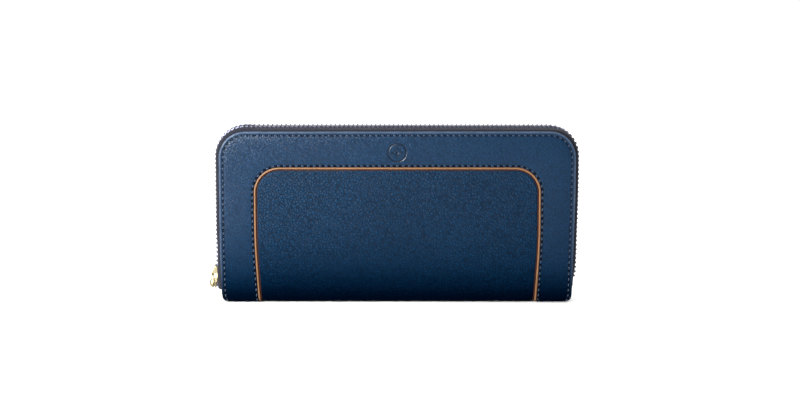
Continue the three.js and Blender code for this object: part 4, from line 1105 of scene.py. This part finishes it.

# gussets: a fan-shaped pleat at each end, front and back, drawn in one fixed shape
for end, ex in (("left", -1), ("right", 1)):
    for word, side in (("front", -1), ("back", 1)):
        rings = []
        zs = np.linspace(12.5, 62, 30)
        for z in zs:
            s = s_of_z(z) if z < ARC_H else TOP - z
            q = at(0, s, 2.6, -1) / MM
            y_cover = float(q[1])
            y_stack = float(at(0, s, 5.65, -1)[1]) / MM
            zz = float(at(0, s, 4, -1)[2]) / MM
            y_pocket = -2.75
            tip = 92 - (8 + 15 * float(smooth((z - 10) / 60)))
            ym = (y_stack + y_pocket) / 2
            ctrl = np.array([[93.0, y_cover], [92.9, y_cover + 0.5], [91.4, y_stack], [89.5, y_stack + 0.1]] +
                            [[89.5 + (tip + 1 - 89.5) * f, y_stack + 0.1 + (ym - 0.42 - y_stack - 0.1) * f] for f in (0.25, 0.5, 0.75)] +
                            [[tip + 0.35, ym - 0.4], [tip, ym], [tip + 0.35, ym + 0.4]] +
                            [[tip + 1 + (89.3 - tip - 1) * f, ym + 0.42 + (y_pocket - ym - 0.42) * f] for f in (0.25, 0.5, 0.75, 1.0)] +
                            [[90.6, y_pocket + 0.4], [90.2, -1.2], [89.9, -0.35]])
            tan = np.gradient(ctrl, axis=0)
            tan /= np.hypot(*tan.T)[:, None]
            off = np.stack([-tan[:, 1], tan[:, 0]], -1) * 0.17
            ring = np.concatenate([ctrl + off, (ctrl - off)[::-1]])
            rings.append(np.stack([ex * ring[:, 0], ring[:, 1] if side < 0 else -ring[:, 1], np.full(len(ring), zz)], -1) * MM)
        gs = make(f"gusset_leather_{end}_{word}", np.concatenate(rings), tube_faces(len(rings), len(rings[0])), MAT["gusset"])
        fix_normals(gs)
        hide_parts(f"gusset_{end}_{word}")
        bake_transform(gs)

# ------------------------------------------------------------------ stage, lights and camera
m, nt, sh = new_material("floor_paper")
n1 = node(nt, "ShaderNodeTexNoise", Scale=900.0, Detail=3.0)
nt.links.new(node(nt, "ShaderNodeTexCoord").outputs["Object"], n1.inputs["Vector"])
nt.links.new(mix(nt, n1.outputs["Fac"], (0.93, 0.93, 0.93, 1), (0.97, 0.97, 0.97, 1)), sh.inputs["Base Color"])
sh.inputs["Roughness"].default_value = 0.8
sh.inputs["Specular IOR Level"].default_value = 0.2
fl = make("floor", [(-6, -4, 0), (6, -4, 0), (6, 8, 0), (-6, 8, 0)], [(0, 1, 2, 3)], m, shade=False)
fl.location.z = -0.00035

world = bpy.data.worlds.new("studio")
scene.world = world
world.use_nodes = True
wt = world.node_tree
bg = wt.nodes["Background"]
bg.inputs["Color"].default_value = (1.0, 1.0, 1.0, 1)
bg.inputs["Strength"].default_value = 0.30
white = wt.nodes.new("ShaderNodeBackground")
white.inputs["Color"].default_value = (1.0, 1.0, 1.0, 1)
white.inputs["Strength"].default_value = 1.0
lp = wt.nodes.new("ShaderNodeLightPath")
ms = wt.nodes.new("ShaderNodeMixShader")
wt.links.new(lp.outputs["Is Camera Ray"], ms.inputs[0])
wt.links.new(bg.outputs[0], ms.inputs[1])
wt.links.new(white.outputs[0], ms.inputs[2])
wt.links.new(ms.outputs[0], wt.nodes["World Output"].inputs[0])


def area(name, loc, target, size, power, colour=(1, 1, 1), size_y=None):
    li = bpy.data.lights.new(name, "AREA")
    li.shape = "RECTANGLE"
    li.size = size
    li.size_y = size_y or size
    li.energy = power
    li.color = colour
    ob = bpy.data.objects.new(name, li)
    ob.location = loc
    ob.rotation_euler = (Vector(target) - Vector(loc)).to_track_quat("-Z", "Y").to_euler()
    ob.visible_camera = False
    scene.collection.objects.link(ob)
    return ob


sun = bpy.data.lights.new("overhead", "SUN")
sun.energy = 2.9
sun.angle = 70 * DEG
sun_ob = bpy.data.objects.new("overhead", sun)
sun_ob.rotation_euler = (0, 0, 0)
scene.collection.objects.link(sun_ob)
area("key_soft", (-0.31, -0.36, 0.27), (-0.03, 0, 0.07), 0.20, 4.9, size_y=0.17)

gloss = area("key_gloss", (-0.31, -0.36, 0.27), (-0.03, 0, 0.07), 0.20, 12.5, size_y=0.17)
gloss.visible_diffuse = False
area("back_fill", (0.45, 0.75, 0.55), (0, 0, 0.05), 0.6, 6.0, size_y=0.4)

cam = bpy.data.cameras.new("camera")
cam.sensor_width = 36.0
DIST = 1.2
cam.lens = 36.0 * DIST / 0.4296
cam_ob = bpy.data.objects.new("camera", cam)
scene.collection.objects.link(cam_ob)
ELEV = 9.0 * DEG
AIM = Vector((0.0014, -0.010, 0.0511))
cam_ob.location = AIM + Vector((0, -math.cos(ELEV), math.sin(ELEV))) * DIST
cam_ob.rotation_euler = (AIM - cam_ob.location).to_track_quat("-Z", "Y").to_euler()
cam.clip_start = 0.05
cam.dof.use_dof = False
scene.camera = cam_ob
scene.view_settings.view_transform = "Standard"
scene.view_settings.look = "None"
scene.view_settings.exposure = 0.0
